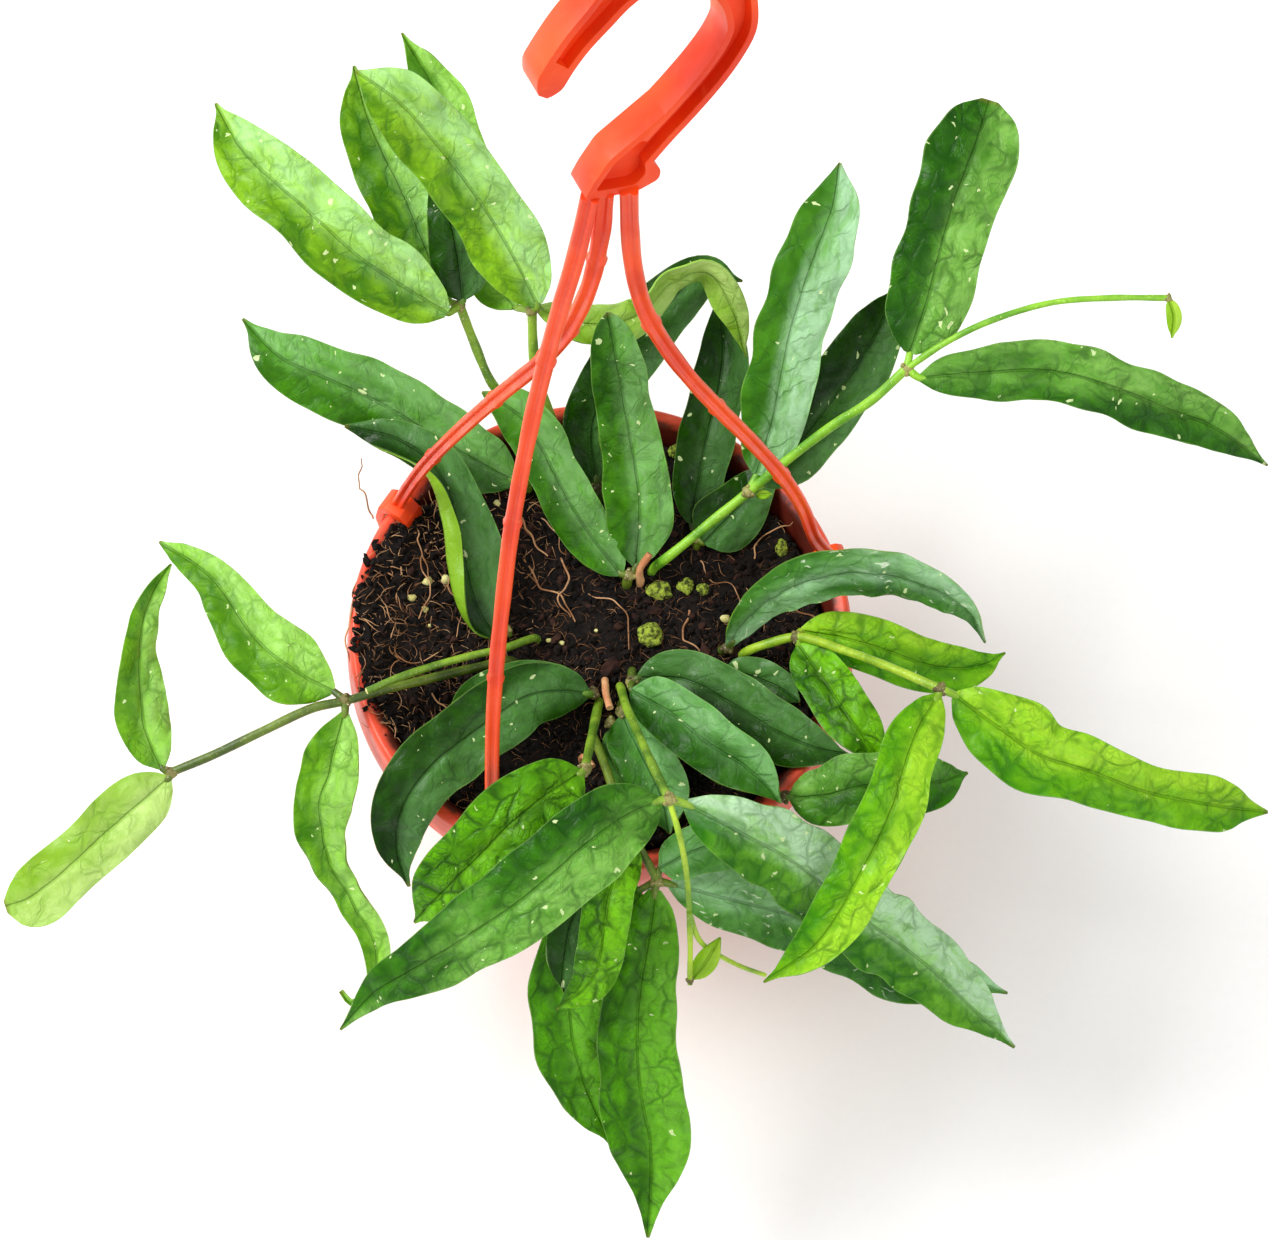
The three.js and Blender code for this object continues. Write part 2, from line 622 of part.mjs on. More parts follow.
// A stem is { radius, route }, and a node is { place, leaves } with the leaves that grow from it.
const SPRIGS = {
  stem_back_left: {
    colour: "#5c8f3a",
    stems: [
      { radius: 1.6, route: [[540, 473, FOOT], [529, 450, 114], [515, 420, 124], [503, 398, 131],
        [490, 380, 137], [473, 340, 147], [460, 306, 156]] },
    ],
    nodes: [
      {
        place: [459, 306, 156],
        leaves: [
          leaf([[447, 313, 160], [366, 262, 172], [306, 209, 180], [246, 154, 184],
            [216, 104, 182]], 23.5, OBLONG),
          leaf([[447, 300, 156], [425, 245, 160], [402, 190, 166], [372, 128, 175],
            [354, 66, 183]], 23, OBLONG),
          leaf([[463, 300, 158], [456, 245, 168], [445, 195, 176], [434, 155, 180]], 17, OVATE),
        ],
      },
    ],
  },
  stem_back_middle: {
    colour: "#5c8f3a",
    stems: [
      { radius: 1.7, route: [[566, 472, FOOT], [560, 446, 115], [549, 412, 126], [536, 376, 137],
        [533, 342, 148], [532, 312, 157]] },
    ],
    nodes: [
      {
        place: [532, 310, 158],
        leaves: [
          leaf([[538, 305, 161], [517, 263, 170], [494, 223, 178], [467, 183, 186], [436, 143, 194],
            [401, 104, 203], [356, 71, 207]], 23, SHOULDERED),
          leaf([[515, 307, 153], [488, 272, 148], [472, 219, 150], [459, 163, 156], [442, 103, 163],
            [402, 33, 172]], 19, OBLONG),
          leaf([[537, 308, 157], [585, 324, 153], [635, 318, 151], [672, 283, 158], [705, 273, 160],
            [732, 308, 152], [746, 356, 138]], 13, OBLONG,
            { roll: [-20, -10, 40, 60, 20, -20], fold: [4, 4], curl: [-6, -6] }),
        ],
      },
    ],
  },
  leaf_back_long: {
    colour: "#2f5f35",
    stems: [{ radius: 1.5, route: [[600, 500, FOOT], [598, 487, 109]] }],
    nodes: [
      {
        place: [598, 487, 109],
        leaves: [
          leaf([[597, 483, 110], [592, 432, 118], [608, 386, 128], [636, 344, 138], [667, 306, 146],
            [705, 273, 151], [742, 281, 146]], 20, OBLONG),
        ],
      },
    ],
  },
  leaves_centre: {
    colour: "#3f7f40",
    stems: [{ radius: 1.8, route: [[627, 584, FOOT], [629, 576, 109]] }],
    nodes: [
      {
        place: [630, 575, 109],
        leaves: [
          leaf([[637, 566, 110], [640, 505, 121], [629, 430, 137], [617, 362, 154],
            [608, 312, 166]], 21.5, TAPERED),
          leaf([[621, 574, 109], [592, 537, 114], [572, 506, 120], [556, 476, 126], [540, 445, 131],
            [519, 415, 135], [482, 392, 139]], 17.5, SHOULDERED),
        ],
      },
    ],
  },
  leaves_back_right: {
    colour: "#34663c",
    stems: [{ radius: 1.6, route: [[697, 546, FOOT], [697, 538, 108]] }],
    nodes: [
      {
        place: [697, 538, 108],
        leaves: [
          leaf([[692, 524, 108], [700, 470, 114], [711, 420, 121], [722, 370, 127], [722, 325, 131],
            [716, 296, 133]], 17.5, OBLONG),
          leaf([[704, 543, 109], [738, 508, 113], [778, 462, 118]], 20, OVATE),
        ],
      },
    ],
  },
  stem_right: {
    colour: "#6f9f3c",
    stems: [
      { radius: 1.6, route: [[652, 573, FOOT], [668, 557, 116], [683, 545, 119], [716, 518, 124.5],
        [746, 494, 130], [786, 461, 141], [832, 426, 153], [872, 400, 163], [905, 370, 171]] },
      { radius: 1, route: [[905, 370, 171], [940, 346, 178], [985, 323, 184], [1050, 303, 189],
        [1110, 298, 192], [1168, 298, 192]] },
    ],
    nodes: [
      {
        place: [748, 492, 131],
        leaves: [
          leaf([[757, 474, 134], [773, 420, 147], [790, 335, 166], [813, 262, 181], [833, 208, 189],
            [840, 163, 193]], 22, SHOULDERED),
          leaf([[763, 485, 128], [801, 439, 136], [843, 385, 146], [877, 332, 154],
            [900, 284, 160]], 21.5, OBLONG),
          leaf([[756, 495, 130], [772, 494, 131]], 3, LANCE, { wave: 0 }),
        ],
      },
      {
        place: [907, 369, 171],
        leaves: [
          leaf([[910, 353, 173], [928, 300, 181], [942, 245, 190], [955, 200, 198], [974, 150, 204],
            [990, 101, 207]], 26, BLUNT),
          leaf([[920, 378, 171], [980, 373, 173], [1050, 371, 173], [1110, 386, 171], [1165, 408, 166],
            [1215, 428, 159], [1267, 465, 147]], 18, OBLONG),
        ],
      },
      {
        place: [1168, 298, 192],
        leaves: [leaf([[1169, 299, 192], [1174, 316, 190], [1172, 338, 186]], 4.5, LANCE, { wave: 0 })],
      },
    ],
  },
  leaf_right_arch: {
    colour: "#3d7a45",
    stems: [{ radius: 1.5, route: [[722, 652, FOOT], [727, 648, 108.5]] }],
    nodes: [
      {
        place: [727, 648, 108.5],
        leaves: [
          leaf([[728, 647, 109], [749, 617, 121], [786, 590, 133], [832, 575, 141], [875, 574, 143],
            [915, 582, 141], [948, 597, 136], [971, 616, 128], [985, 642, 117]], 17, LANCE,
            { roll: [30], curl: [-24, -24] }),
        ],
      },
    ],
  },
  stem_lower_right: {
    colour: "#7fae35",
    stems: [
      { radius: 1.5, route: [[742, 658, FOOT], [752, 649, 113], [770, 643, 116.5], [797, 637, 121],
        [849, 652, 132], [892, 668, 142], [938, 688, 150]] },
    ],
    nodes: [
      {
        place: [797, 637, 121],
        leaves: [
          leaf([[801, 631, 120], [839, 637, 121], [882, 649, 120], [918, 662, 117], [952, 669, 114],
            [981, 666, 113], [1005, 653, 113]], 17, OBLONG),
          leaf([[799, 645, 121], [825, 682, 125], [845, 712, 128], [865, 738, 128],
            [884, 764, 124]], 16.5, OBLONG),
        ],
      },
      {
        place: [940, 689, 150],
        leaves: [
          leaf([[955, 695, 150], [995, 725, 151], [1040, 755, 149], [1090, 771, 146], [1140, 790, 140],
            [1200, 803, 132], [1267, 812, 120]], 23.5, WAISTED),
          leaf([[938, 696, 150], [919, 729, 154], [905, 766, 156], [895, 802, 155], [876, 845, 151],
            [856, 882, 145], [836, 918, 139], [812, 949, 132], [764, 982, 122]], 17.5, OBLONG),
        ],
      },
    ],
  },
  leaves_front_right: {
    colour: "#35703d",
    stems: [{ radius: 1.6, route: [[632, 674, FOOT], [632, 682, 111]] }],
    nodes: [
      {
        place: [632, 682, 112],
        leaves: [
          leaf([[638, 678, 113], [683, 679, 116], [733, 704, 117], [776, 731, 117], [816, 748, 118],
            [850, 755, 118]], 19.5, OBLONG),
          leaf([[632, 691, 116], [671, 713, 123], [708, 743, 126], [741, 763, 127], [764, 783, 127],
            [781, 803, 126]], 18, OBLONG),
        ],
      },
    ],
  },
  leaf_under_right: {
    colour: "#2f5f3c",
    stems: [{ radius: 1.3, route: [[718, 668, FOOT], [722, 669, 107.5]] }],
    nodes: [
      {
        place: [722, 669, 107.5],
        leaves: [
          leaf([[726, 669, 108], [760, 679, 110], [785, 691, 111],
            [800, 702, 111]], 12, OBLONG, { wave: 0.3 }),
        ],
      },
    ],
  },
  leaf_front_far_right: {
    colour: "#4f8f50",
    stems: [
      { radius: 1.5, route: [[735, 762, FOOT], [748, 776, 114], [764, 790, 118], [784, 797, 119]] },
    ],
    nodes: [
      {
        place: [784, 797, 119],
        leaves: [
          leaf([[790, 797, 120], [822, 796, 124], [865, 786, 128], [905, 783, 127], [938, 782, 122],
            [967, 773, 117]], 20, OBLONG),
        ],
      },
    ],
  },
  stem_front: {
    colour: "#4f9a3a",
    stems: [
      { radius: 1.4, route: [[620, 689, FOOT], [626, 706, 124], [638, 733, 140], [652, 764, 153],
        [668, 797, 165]] },
      { radius: 0.9, route: [[668, 797, 165], [678, 830, 162], [686, 870, 150], [690, 930, 132],
        [690, 984, 118]] },
      { radius: 0.8, route: [[689, 912, 138], [700, 941, 125], [715, 953, 119], [740, 966, 113],
        [765, 975, 105]] },
    ],
    nodes: [
      {
        place: [669, 799, 165],
        leaves: [
          leaf([[659, 801, 165], [622, 819, 170], [586, 845, 172], [552, 875, 170], [519, 902, 166],
            [485, 925, 160], [450, 948, 152], [412, 971, 143], [376, 992, 133],
            [341, 1029, 119]], 24.5, OVATE),
          leaf([[686, 804, 164], [739, 832, 158], [789, 859, 144], [836, 895, 126], [872, 925, 113],
            [905, 948, 102], [938, 975, 92], [972, 1008, 82], [1014, 1047, 70]], 24.5, OBLONG),
        ],
      },
      {
        place: [690, 980, 119],
        leaves: [leaf([[692, 979, 119], [706, 962, 121], [720, 938, 125]], 6.5, LANCE, { wave: 0 })],
      },
    ],
  },
  leaf_front_left: {
    colour: "#5fae2c",
    stems: [
      { radius: 1.5, route: [[599, 704, FOOT], [596, 716, 113], [590, 745, 130], [585, 768, 150]] },
    ],
    nodes: [
      {
        place: [585, 769, 150],
        leaves: [
          leaf([[581, 773, 151], [545, 796, 155], [506, 829, 153], [476, 860, 147], [444, 891, 137],
            [415, 922, 124]], 24, OBLONG),
        ],
      },
    ],
  },
  leaves_left_low: {
    colour: "#355f35",
    stems: [{ radius: 1.6, route: [[594, 696, FOOT], [593, 693, 112]] }],
    nodes: [
      {
        place: [593, 693, 112],
        leaves: [
          leaf([[588, 694, 114], [565, 691, 118], [528, 696, 123], [492, 719, 125], [459, 743, 125],
            [430, 768, 125], [404, 805, 121], [397, 848, 108], [409, 886, 98]], 21.5, OBLONG,
            { roll: [0, 0, 0, 10, 30] }),
          leaf([[583, 692, 111], [520, 687, 113.5], [480, 704, 115],
            [449, 738, 116]], 17, OBLONG, { wave: 0.3, curl: [-6, -6] }),
        ],
      },
    ],
  },
  leaf_under_front_left: {
    colour: "#34663c",
    stems: [{ radius: 1.3, route: [[611, 721, FOOT], [611, 722, 108.5]] }],
    nodes: [
      {
        place: [611, 723, 108.5],
        leaves: [
          leaf([[613, 728, 108.5], [621, 765, 109],
            [641, 805, 109]], 9, OBLONG, { wave: 0.2, curl: [-4, -4], fold: [3, 3] }),
        ],
      },
    ],
  },
  leaf_under_front: {
    colour: "#3f7850",
    stems: [{ radius: 1.5, route: [[621, 706, FOOT], [622, 712, 110]] }],
    nodes: [
      {
        place: [622, 712, 111],
        leaves: [
          leaf([[623, 715, 111], [643, 757, 114], [662, 797, 114],
            [670, 834, 113]], 18, OBLONG, { wave: 0.4 }),
        ],
      },
    ],
  },
  stem_front_hanging: {
    colour: "#2f6f30",
    stems: [
      { radius: 1.4, route: [[592, 737, FOOT], [603, 760, 115], [618, 802, 121], [637, 842, 123],
        [657, 880, 121]] },
    ],
    nodes: [
      {
        place: [657, 881, 120],
        leaves: [
          leaf([[655, 890, 119], [650, 930, 114], [640, 990, 102], [637, 1042, 92], [642, 1102, 79],
            [650, 1141, 71], [651, 1177, 63], [648, 1237, 50]], 27, OBOVATE),
          leaf([[640, 890, 116], [602, 915, 109], [575, 960, 100], [570, 1015, 89], [582, 1075, 77],
            [612, 1146, 63]], 24, OBLONG),
          leaf([[670, 884, 119], [740, 902, 114], [799, 918, 106], [856, 945, 96], [905, 971, 84],
            [955, 976, 74], [1007, 993, 66]], 21, OBLONG),
          leaf([[660, 868, 122], [700, 849, 125], [740, 841, 127], [775, 841, 127]], 15, OBLONG),
        ],
      },
      {
        place: [637, 842, 123],
        leaves: [
          leaf([[635, 846, 124], [612, 885, 131], [604, 925, 128], [600, 955, 121], [590, 983, 112],
            [557, 1009, 102]], 14.5, OBLONG),
          leaf([[628, 846, 122], [592, 880, 124], [571, 925, 119], [566, 950, 113], [563, 975, 108],
            [565, 994, 105]], 13, OBLONG),
        ],
      },
    ],
  },
  stem_left: {
    colour: "#5f9a30",
    stems: [
      { radius: 1.5, route: [[512, 664, FOOT], [470, 669, 114], [420, 681, 117.5], [380, 691, 120],
        [345, 701, 121], [313, 708, 121], [263, 731, 119], [213, 755, 116], [172, 772, 113]] },
    ],
    nodes: [
      {
        place: [345, 700, 121],
        leaves: [
          leaf([[333, 691, 121], [297, 672, 124], [257, 640, 126], [212, 578, 126],
            [160, 542, 120]], 22.5, NARROWING),
          leaf([[345, 713, 120], [333, 760, 114], [321, 810, 104], [329, 860, 94], [354, 905, 86],
            [376, 945, 80], [371, 985, 76], [352, 1003, 74], [341, 991, 74]], 19, TAILED,
            { roll: [0, 20, 30, 20, 0] }),
        ],
      },
      {
        place: [171, 773, 113],
        leaves: [
          leaf([[162, 768, 114], [147, 735, 118], [140, 690, 124], [141, 640, 130], [150, 600, 134],
            [171, 564, 136]], 16.5, NARROWING, { roll: [0, 20, 20, 10] }),
          leaf([[169, 778, 113], [130, 812, 112], [93, 845, 110], [58, 877, 107], [28, 899, 103],
            [6, 907, 101]], 19, BLUNT),
        ],
      },
    ],
  },
  leaf_left: {
    colour: "#4a8a3c",
    stems: [{ radius: 1.6, route: [[527, 489, FOOT], [522, 486, 109.5]] }],
    nodes: [
      {
        place: [522, 486, 110],
        leaves: [
          leaf([[515, 482, 111.5], [480, 463, 117], [430, 433, 122], [380, 403, 126], [330, 380, 130],
            [280, 357, 133], [243, 319, 135]], 24, OBLONG),
        ],
      },
    ],
  },
  leaf_left_twisted: {
    colour: "#3a6038",
    stems: [{ radius: 1.6, route: [[507, 634, FOOT], [505, 630, 110]] }],
    nodes: [
      {
        place: [505, 630, 110],
        leaves: [
          leaf([[494, 636, 111], [475, 604, 116], [464, 560, 121], [455, 515, 126], [436, 468, 130],
            [400, 440, 132], [345, 426, 131]], 27, NARROWING,
            { roll: [10, 10, 10, 10, 0], curl: [150, -14] }),
        ],
      },
    ],
  },
};

// ---- Dry and cut stems, and pumice ------------------------------------------------------------------
const CUT_STEM_ROUTE = [
  [536, 641, FOOT], [505, 648, 115], [470, 656, 120], [430, 667, 122.5], [395, 679, 124.5],
  [367, 691, 125],
];
const STUBS = {
  dry_stub_centre: [[640, 584, FOOT], [640, 569, 113.5], [650, 554, 117]],
  dry_stub_front: [[605, 683, FOOT], [606, 694, 113], [610, 708, 115]],
  dry_stub_low: [[582, 760, FOOT], [585, 757, 111], [592, 767, 112]],
};

// Each grain is { place: picture point, size: half sizes }.
const GRAINS = {
  pumice_1: { place: [659, 591], size: [4, 3, 2.4] },
  pumice_2: { place: [685, 587], size: [2.6, 2.8, 2.2] },
  pumice_3: { place: [703, 590], size: [2.2, 2, 1.8] },
  pumice_4: { place: [651, 636], size: [4, 3.8, 2.8] },
  pumice_5: { place: [675, 452], size: [2.3, 2.2, 1.9] },
  pumice_6: { place: [782, 548], size: [1.9, 2.8, 1.9] },
};

function grain({ place, size }, grow) {
  const centre = ground(...place);
  const geometry = new THREE.IcosahedronGeometry(1, 1);
  geometry.scale(...size.map((half) => half + grow));
  return solid(geometry.translate(centre.x, centre.y, centre.z + GRAIN_RISE * size[2]));
}

// ---- The whole --------------------------------------------------------------------------------------
const plant = new THREE.Group();
plant.name = "potted_hoya";
const holes = [];

function hole(points, radius) {
  const foot = points[0];
  const reach = radius + HOLE_MARGIN;
  const bore = new THREE.CylinderGeometry(reach, reach, 2 * ROOT_DEPTH, HOLE_SIDES);
  bore.rotateX(Math.PI / 2).translate(foot.x, foot.y, foot.z + ROOT_DEPTH - CLEARANCE);
  return solid(bore);
}

for (const [name, { colour, stems, nodes }] of Object.entries(SPRIGS)) {
  const bodies = stems.map(({ radius, route }) => tube(stemPoints(route), radius));
  for (const { place, leaves } of nodes) {
    bodies.push(ball(at(...place), NODE_RADIUS));
    for (const spec of leaves) bodies.push(blade(spec), stalk(place, spec));
  }
  plant.add(meshOf(name, union(bodies), colour, 0.4));
  const [{ radius, route }] = stems;
  holes.push(hole(stemPoints(route), radius));
}

const cutStem = tube(stemPoints(CUT_STEM_ROUTE), CUT_STEM_RADIUS);
plant.add(meshOf("cut_stem", cutStem, CUT_STEM_COLOUR, 0.5));
holes.push(hole(stemPoints(CUT_STEM_ROUTE), CUT_STEM_RADIUS));

for (const [name, route] of Object.entries(STUBS)) {
  plant.add(meshOf(name, tube(stemPoints(route), STUB_RADIUS), STUB_COLOUR, 0.8));
  holes.push(hole(stemPoints(route), STUB_RADIUS));
}

for (const [name, spec] of Object.entries(GRAINS)) {
  plant.add(meshOf(name, grain(spec, 0), GRAIN_COLOUR, 0.9));
  holes.push(grain(spec, CLEARANCE));
}

for (const route of Object.values(STRAP_ROUTES)) holes.push(clipNotch(route));

plant.add(meshOf("pot", pot(), POT_COLOUR, 0.4));
const boredSoil = holes.reduce((body, cut) => body.subtract(cut), soil());
plant.add(meshOf("soil", boredSoil, SOIL_COLOUR, 1));
for (const [side, route] of Object.entries(STRAP_ROUTES)) {
  plant.add(meshOf(`hanger_strap_${side}`, strap(route), HANGER_COLOUR, 0.35));
}
const sockets = Object.values(STRAP_ROUTES).map(strapSocket);
plant.add(meshOf("hanger_hook", hook(sockets), HANGER_COLOUR, 0.35));

export default plant;
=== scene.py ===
"""Dresses a hoya in a round hanging pot: leaves, stems, peat, roots, pumice, pot and hanger."""

import logging
import math
from collections.abc import Iterable, Sequence
from dataclasses import dataclass
from enum import Enum
from functools import cached_property

import bmesh
import bpy
import numpy as np
from mathutils import Matrix, Vector, noise


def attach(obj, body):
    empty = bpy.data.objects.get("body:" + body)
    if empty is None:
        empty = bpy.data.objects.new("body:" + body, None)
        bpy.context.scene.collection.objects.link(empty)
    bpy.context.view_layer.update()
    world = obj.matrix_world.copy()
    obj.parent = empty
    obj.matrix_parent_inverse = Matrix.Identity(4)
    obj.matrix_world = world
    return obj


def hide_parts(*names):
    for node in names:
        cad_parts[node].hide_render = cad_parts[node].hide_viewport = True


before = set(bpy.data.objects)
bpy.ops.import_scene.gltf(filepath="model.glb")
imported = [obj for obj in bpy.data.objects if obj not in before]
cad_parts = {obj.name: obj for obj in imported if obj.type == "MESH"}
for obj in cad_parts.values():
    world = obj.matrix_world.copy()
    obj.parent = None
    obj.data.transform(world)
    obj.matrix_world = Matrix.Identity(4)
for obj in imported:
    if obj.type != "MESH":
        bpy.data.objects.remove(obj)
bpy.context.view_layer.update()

MM = 0.001
BODY = "root"
LOG = logging.getLogger("potted_hoya")

Colour = tuple[float, float, float, float]
Place = tuple[float, float, float]
Socket = bpy.types.NodeSocket
Piece = bpy.types.Object
Material = bpy.types.Material
Pairs = Sequence[tuple[float, float]]

RIB_SLANT = 0.9  # how far a leaf's side ribs lean towards its tip, for each step outwards
RIB_SPACING = 8.4  # millimetres between two side ribs


def rgb(red: int, green: int, blue: int) -> Colour:
    """Turns 8-bit display values into a linear colour.

    Args:
        red: Red, 0 to 255.
        green: Green, 0 to 255.
        blue: Blue, 0 to 255.

    Returns:
        The linear colour, opaque.
    """
    knee, slope, offset, power = 0.04045, 12.92, 0.055, 2.4
    parts = [value / 255 for value in (red, green, blue)]
    linear = [p / slope if p <= knee else ((p + offset) / (1 + offset)) ** power for p in parts]
    return (linear[0], linear[1], linear[2], 1.0)


def smooth(low: float, high: float, value: np.ndarray | float) -> np.ndarray | float:
    """Rises smoothly from 0 at low to 1 at high.

    Args:
        low: Where the rise starts.
        high: Where it ends.
        value: The value or values to read.

    Returns:
        The share of the rise at each value.
    """
    share = np.clip((value - low) / (high - low), 0, 1)
    return share * share * (3 - 2 * share)


def unit(vectors: np.ndarray) -> np.ndarray:
    """Returns vectors of length one, along the last axis."""
    return vectors / np.maximum(np.linalg.norm(vectors, axis=-1, keepdims=True), 1e-12)


def link(piece: Piece) -> Piece:
    """Puts a piece into the scene and returns it."""
    bpy.context.scene.collection.objects.link(piece)
    return piece


# ---- The eye, lines and meshes ----
@dataclass(frozen=True)
class Eye:
    """The place the plant is looked at from. Places are points of the picture seen from there."""

    elevation: float = math.radians(68.14)
    roll: float = math.radians(3.48)
    distance: float = 748.5 * MM
    aim: Place = (10.06 * MM, 3.12 * MM, 115 * MM)
    focal_pixels: float = 2400.0
    width: int = 1268
    height: int = 1240
    sensor: float = 36.0

    @cached_property
    def toward(self) -> np.ndarray:
        """The direction from the plant to the eye."""
        return np.array([0.0, -math.cos(self.elevation), math.sin(self.elevation)])

    @cached_property
    def place(self) -> np.ndarray:
        """The eye's own place."""
        return np.array(self.aim) + self.toward * self.distance

    @cached_property
    def right(self) -> np.ndarray:
        """The direction to the right in the picture."""
        level = np.array([1.0, 0.0, 0.0])
        return level * math.cos(self.roll) + np.cross(self.toward, level) * math.sin(self.roll)

    @cached_property
    def up(self) -> np.ndarray:
        """The direction up in the picture."""
        return np.cross(self.toward, self.right)

    def at(self, px: float, py: float, height: float) -> np.ndarray:
        """Finds the point of the ray through a picture point at a height.

        Args:
            px: Picture column.
            py: Picture row.
            height: Height above the pot's foot in millimetres.

        Returns:
            The point in metres.
        """
        ray = (
            -self.toward
            + self.right * (px - self.width / 2) / self.focal_pixels
            + self.up * (self.height / 2 - py) / self.focal_pixels
        )
        return self.place + ray * (height * MM - self.place[2]) / ray[2]

    def camera(self) -> Piece:
        """Makes the camera that sees this picture.

        Returns:
            The camera, in the scene.
        """
        data = bpy.data.cameras.new("camera")
        data.sensor_width = self.sensor
        data.lens = self.focal_pixels * self.sensor / self.width
        turn = Matrix([self.right, self.up, self.toward]).transposed().to_4x4()
        camera = link(bpy.data.objects.new("camera", data))
        camera.matrix_world = Matrix.Translation(self.place) @ turn
        return camera


EYE = Eye()


class Path:
    """A smooth line through points, walked by share of its length."""

    STEPS = 64

    def __init__(self, points: Sequence[np.ndarray]) -> None:
        """Draws the line.

        Args:
            points: The points it passes through, in metres.
        """
        given = [np.asarray(p, float) for p in points]
        before, after = 2 * given[0] - given[1], 2 * given[-1] - given[-2]
        knots = [before, *given, after]
        line = [self._span(knots[i : i + 4]) for i in range(len(given) - 1)]
        self.line = np.concatenate([*line, [given[-1]]])
        reach = np.linalg.norm(np.diff(self.line, axis=0), axis=1)
        self.reach = np.concatenate([[0], np.cumsum(reach)])
        self.length = float(self.reach[-1])

    def _span(self, knots: list[np.ndarray]) -> np.ndarray:
        """Finds the stretch between the two middle knots of four.

        Args:
            knots: The four knots.

        Returns:
            The stretch's points.
        """
        a, b, c, d = knots
        scale, least = 1000.0, 1e-4
        steps = [float(np.linalg.norm(q - p)) * scale for p, q in ((a, b), (b, c), (c, d))]
        gaps = [max(math.sqrt(step), least) for step in steps]
        leave = ((b - a) / gaps[0] - (c - a) / (gaps[0] + gaps[1]) + (c - b) / gaps[1]) * gaps[1]
        reach = ((c - b) / gaps[1] - (d - b) / (gaps[1] + gaps[2]) + (d - c) / gaps[2]) * gaps[1]
        t = np.linspace(0, 1, self.STEPS, endpoint=False)[:, None]
        bend = -3 * b + 3 * c - 2 * leave - reach
        return b + leave * t + bend * t**2 + (2 * b - 2 * c + leave + reach) * t**3

    def at(self, shares: np.ndarray | float) -> np.ndarray:
        """Returns the points at shares of the length."""
        wanted = np.atleast_1d(shares) * self.length
        return np.stack([np.interp(wanted, self.reach, self.line[:, k]) for k in range(3)], axis=-1)

    def forward(self, shares: np.ndarray | float) -> np.ndarray:
        """Returns the directions at shares of the length."""
        near = 0.008
        shares = np.atleast_1d(shares)
        return unit(self.at(np.minimum(shares + near, 1)) - self.at(np.maximum(shares - near, 0)))


def along(stations: Pairs, places: np.ndarray) -> np.ndarray:
    """Reads values off a smooth line through stations.

    Args:
        stations: Pairs of place and value.
        places: The places to read.

    Returns:
        The value at each place.
    """
    x, y = np.array(stations, float).T
    last = len(x) - 1
    lower, upper = np.maximum(np.arange(last + 1) - 1, 0), np.minimum(np.arange(last + 1) + 1, last)
    slope = (y[upper] - y[lower]) / (x[upper] - x[lower])
    k = np.clip(np.searchsorted(x, places, side="right") - 1, 0, last - 1)
    span = x[k + 1] - x[k]
    u = np.clip((places - x[k]) / span, 0, 1)
    leave, arrive = slope[k] * span, slope[k + 1] * span
    rise = y[k + 1] - y[k]
    second, third = 3 * rise - 2 * leave - arrive, leave + arrive - 2 * rise
    return y[k] + leave * u + second * u**2 + third * u**3


def grid_faces(rows: int, columns: int, start: int = 0, closed: bool = False) -> np.ndarray:
    """Returns the four-cornered faces of a grid of points.

    Args:
        rows: Rows of points.
        columns: Points in a row.
        start: Number of the first point.
        closed: Whether the last column joins the first.

    Returns:
        One row of four point numbers per face.
    """
    across = np.arange(columns if closed else columns - 1)
    row, column = np.meshgrid(np.arange(rows - 1), across, indexing="ij")
    here = row * columns + column
    beside = row * columns + (column + 1) % columns
    return np.stack([here, beside, beside + columns, here + columns], axis=-1).reshape(-1, 4) + start


class Shell:
    """Collects the points and faces of one piece, with its finishes and surface values."""

    def __init__(self) -> None:
        """Starts with nothing."""
        self.points: list[np.ndarray] = []
        self.faces: list[list[int]] = []
        self.finish: list[int] = []
        self.values: dict[str, list[np.ndarray]] = {}
        self.count = 0

    def add(self, points: np.ndarray, faces: Iterable, finish: int = 0, **values: np.ndarray) -> None:
        """Adds a closed body.

        Args:
            points: Its points in metres.
            faces: Its faces as numbers of its own points.
            finish: Which of the piece's materials it takes.
            **values: A vector for each point under the name of each surface value.
        """
        for face in faces:
            self.faces.append([int(n) + self.count for n in face])
            self.finish.append(finish)
        self.points.append(np.asarray(points, float))
        for name, value in values.items():
            self.values.setdefault(name, []).append(np.asarray(value, float))
        self.count += len(points)

    def piece(self, name: str, materials: Sequence[Material], sharp: float = 180) -> Piece:
        """Makes the piece.

        Args:
            name: Its name.
            materials: Its materials.
            sharp: Edges that turn more than this many degrees stay sharp.

        Returns:
            The piece, linked into the scene.
        """
        mesh = bpy.data.meshes.new(name)
        mesh.from_pydata(np.concatenate(self.points).tolist(), [], self.faces)
        for material in materials:
            mesh.materials.append(material)
        mesh.polygons.foreach_set("material_index", self.finish)
        mesh.polygons.foreach_set("use_smooth", [True] * len(self.faces))
        for label, values in self.values.items():
            layer = mesh.attributes.new(label, "FLOAT_VECTOR", "POINT")
            layer.data.foreach_set("vector", np.concatenate(values).ravel())
        mesh.update()
        if sharp < 180:
            mesh.set_sharp_from_angle(angle=math.radians(sharp))
        return link(bpy.data.objects.new(name, mesh))


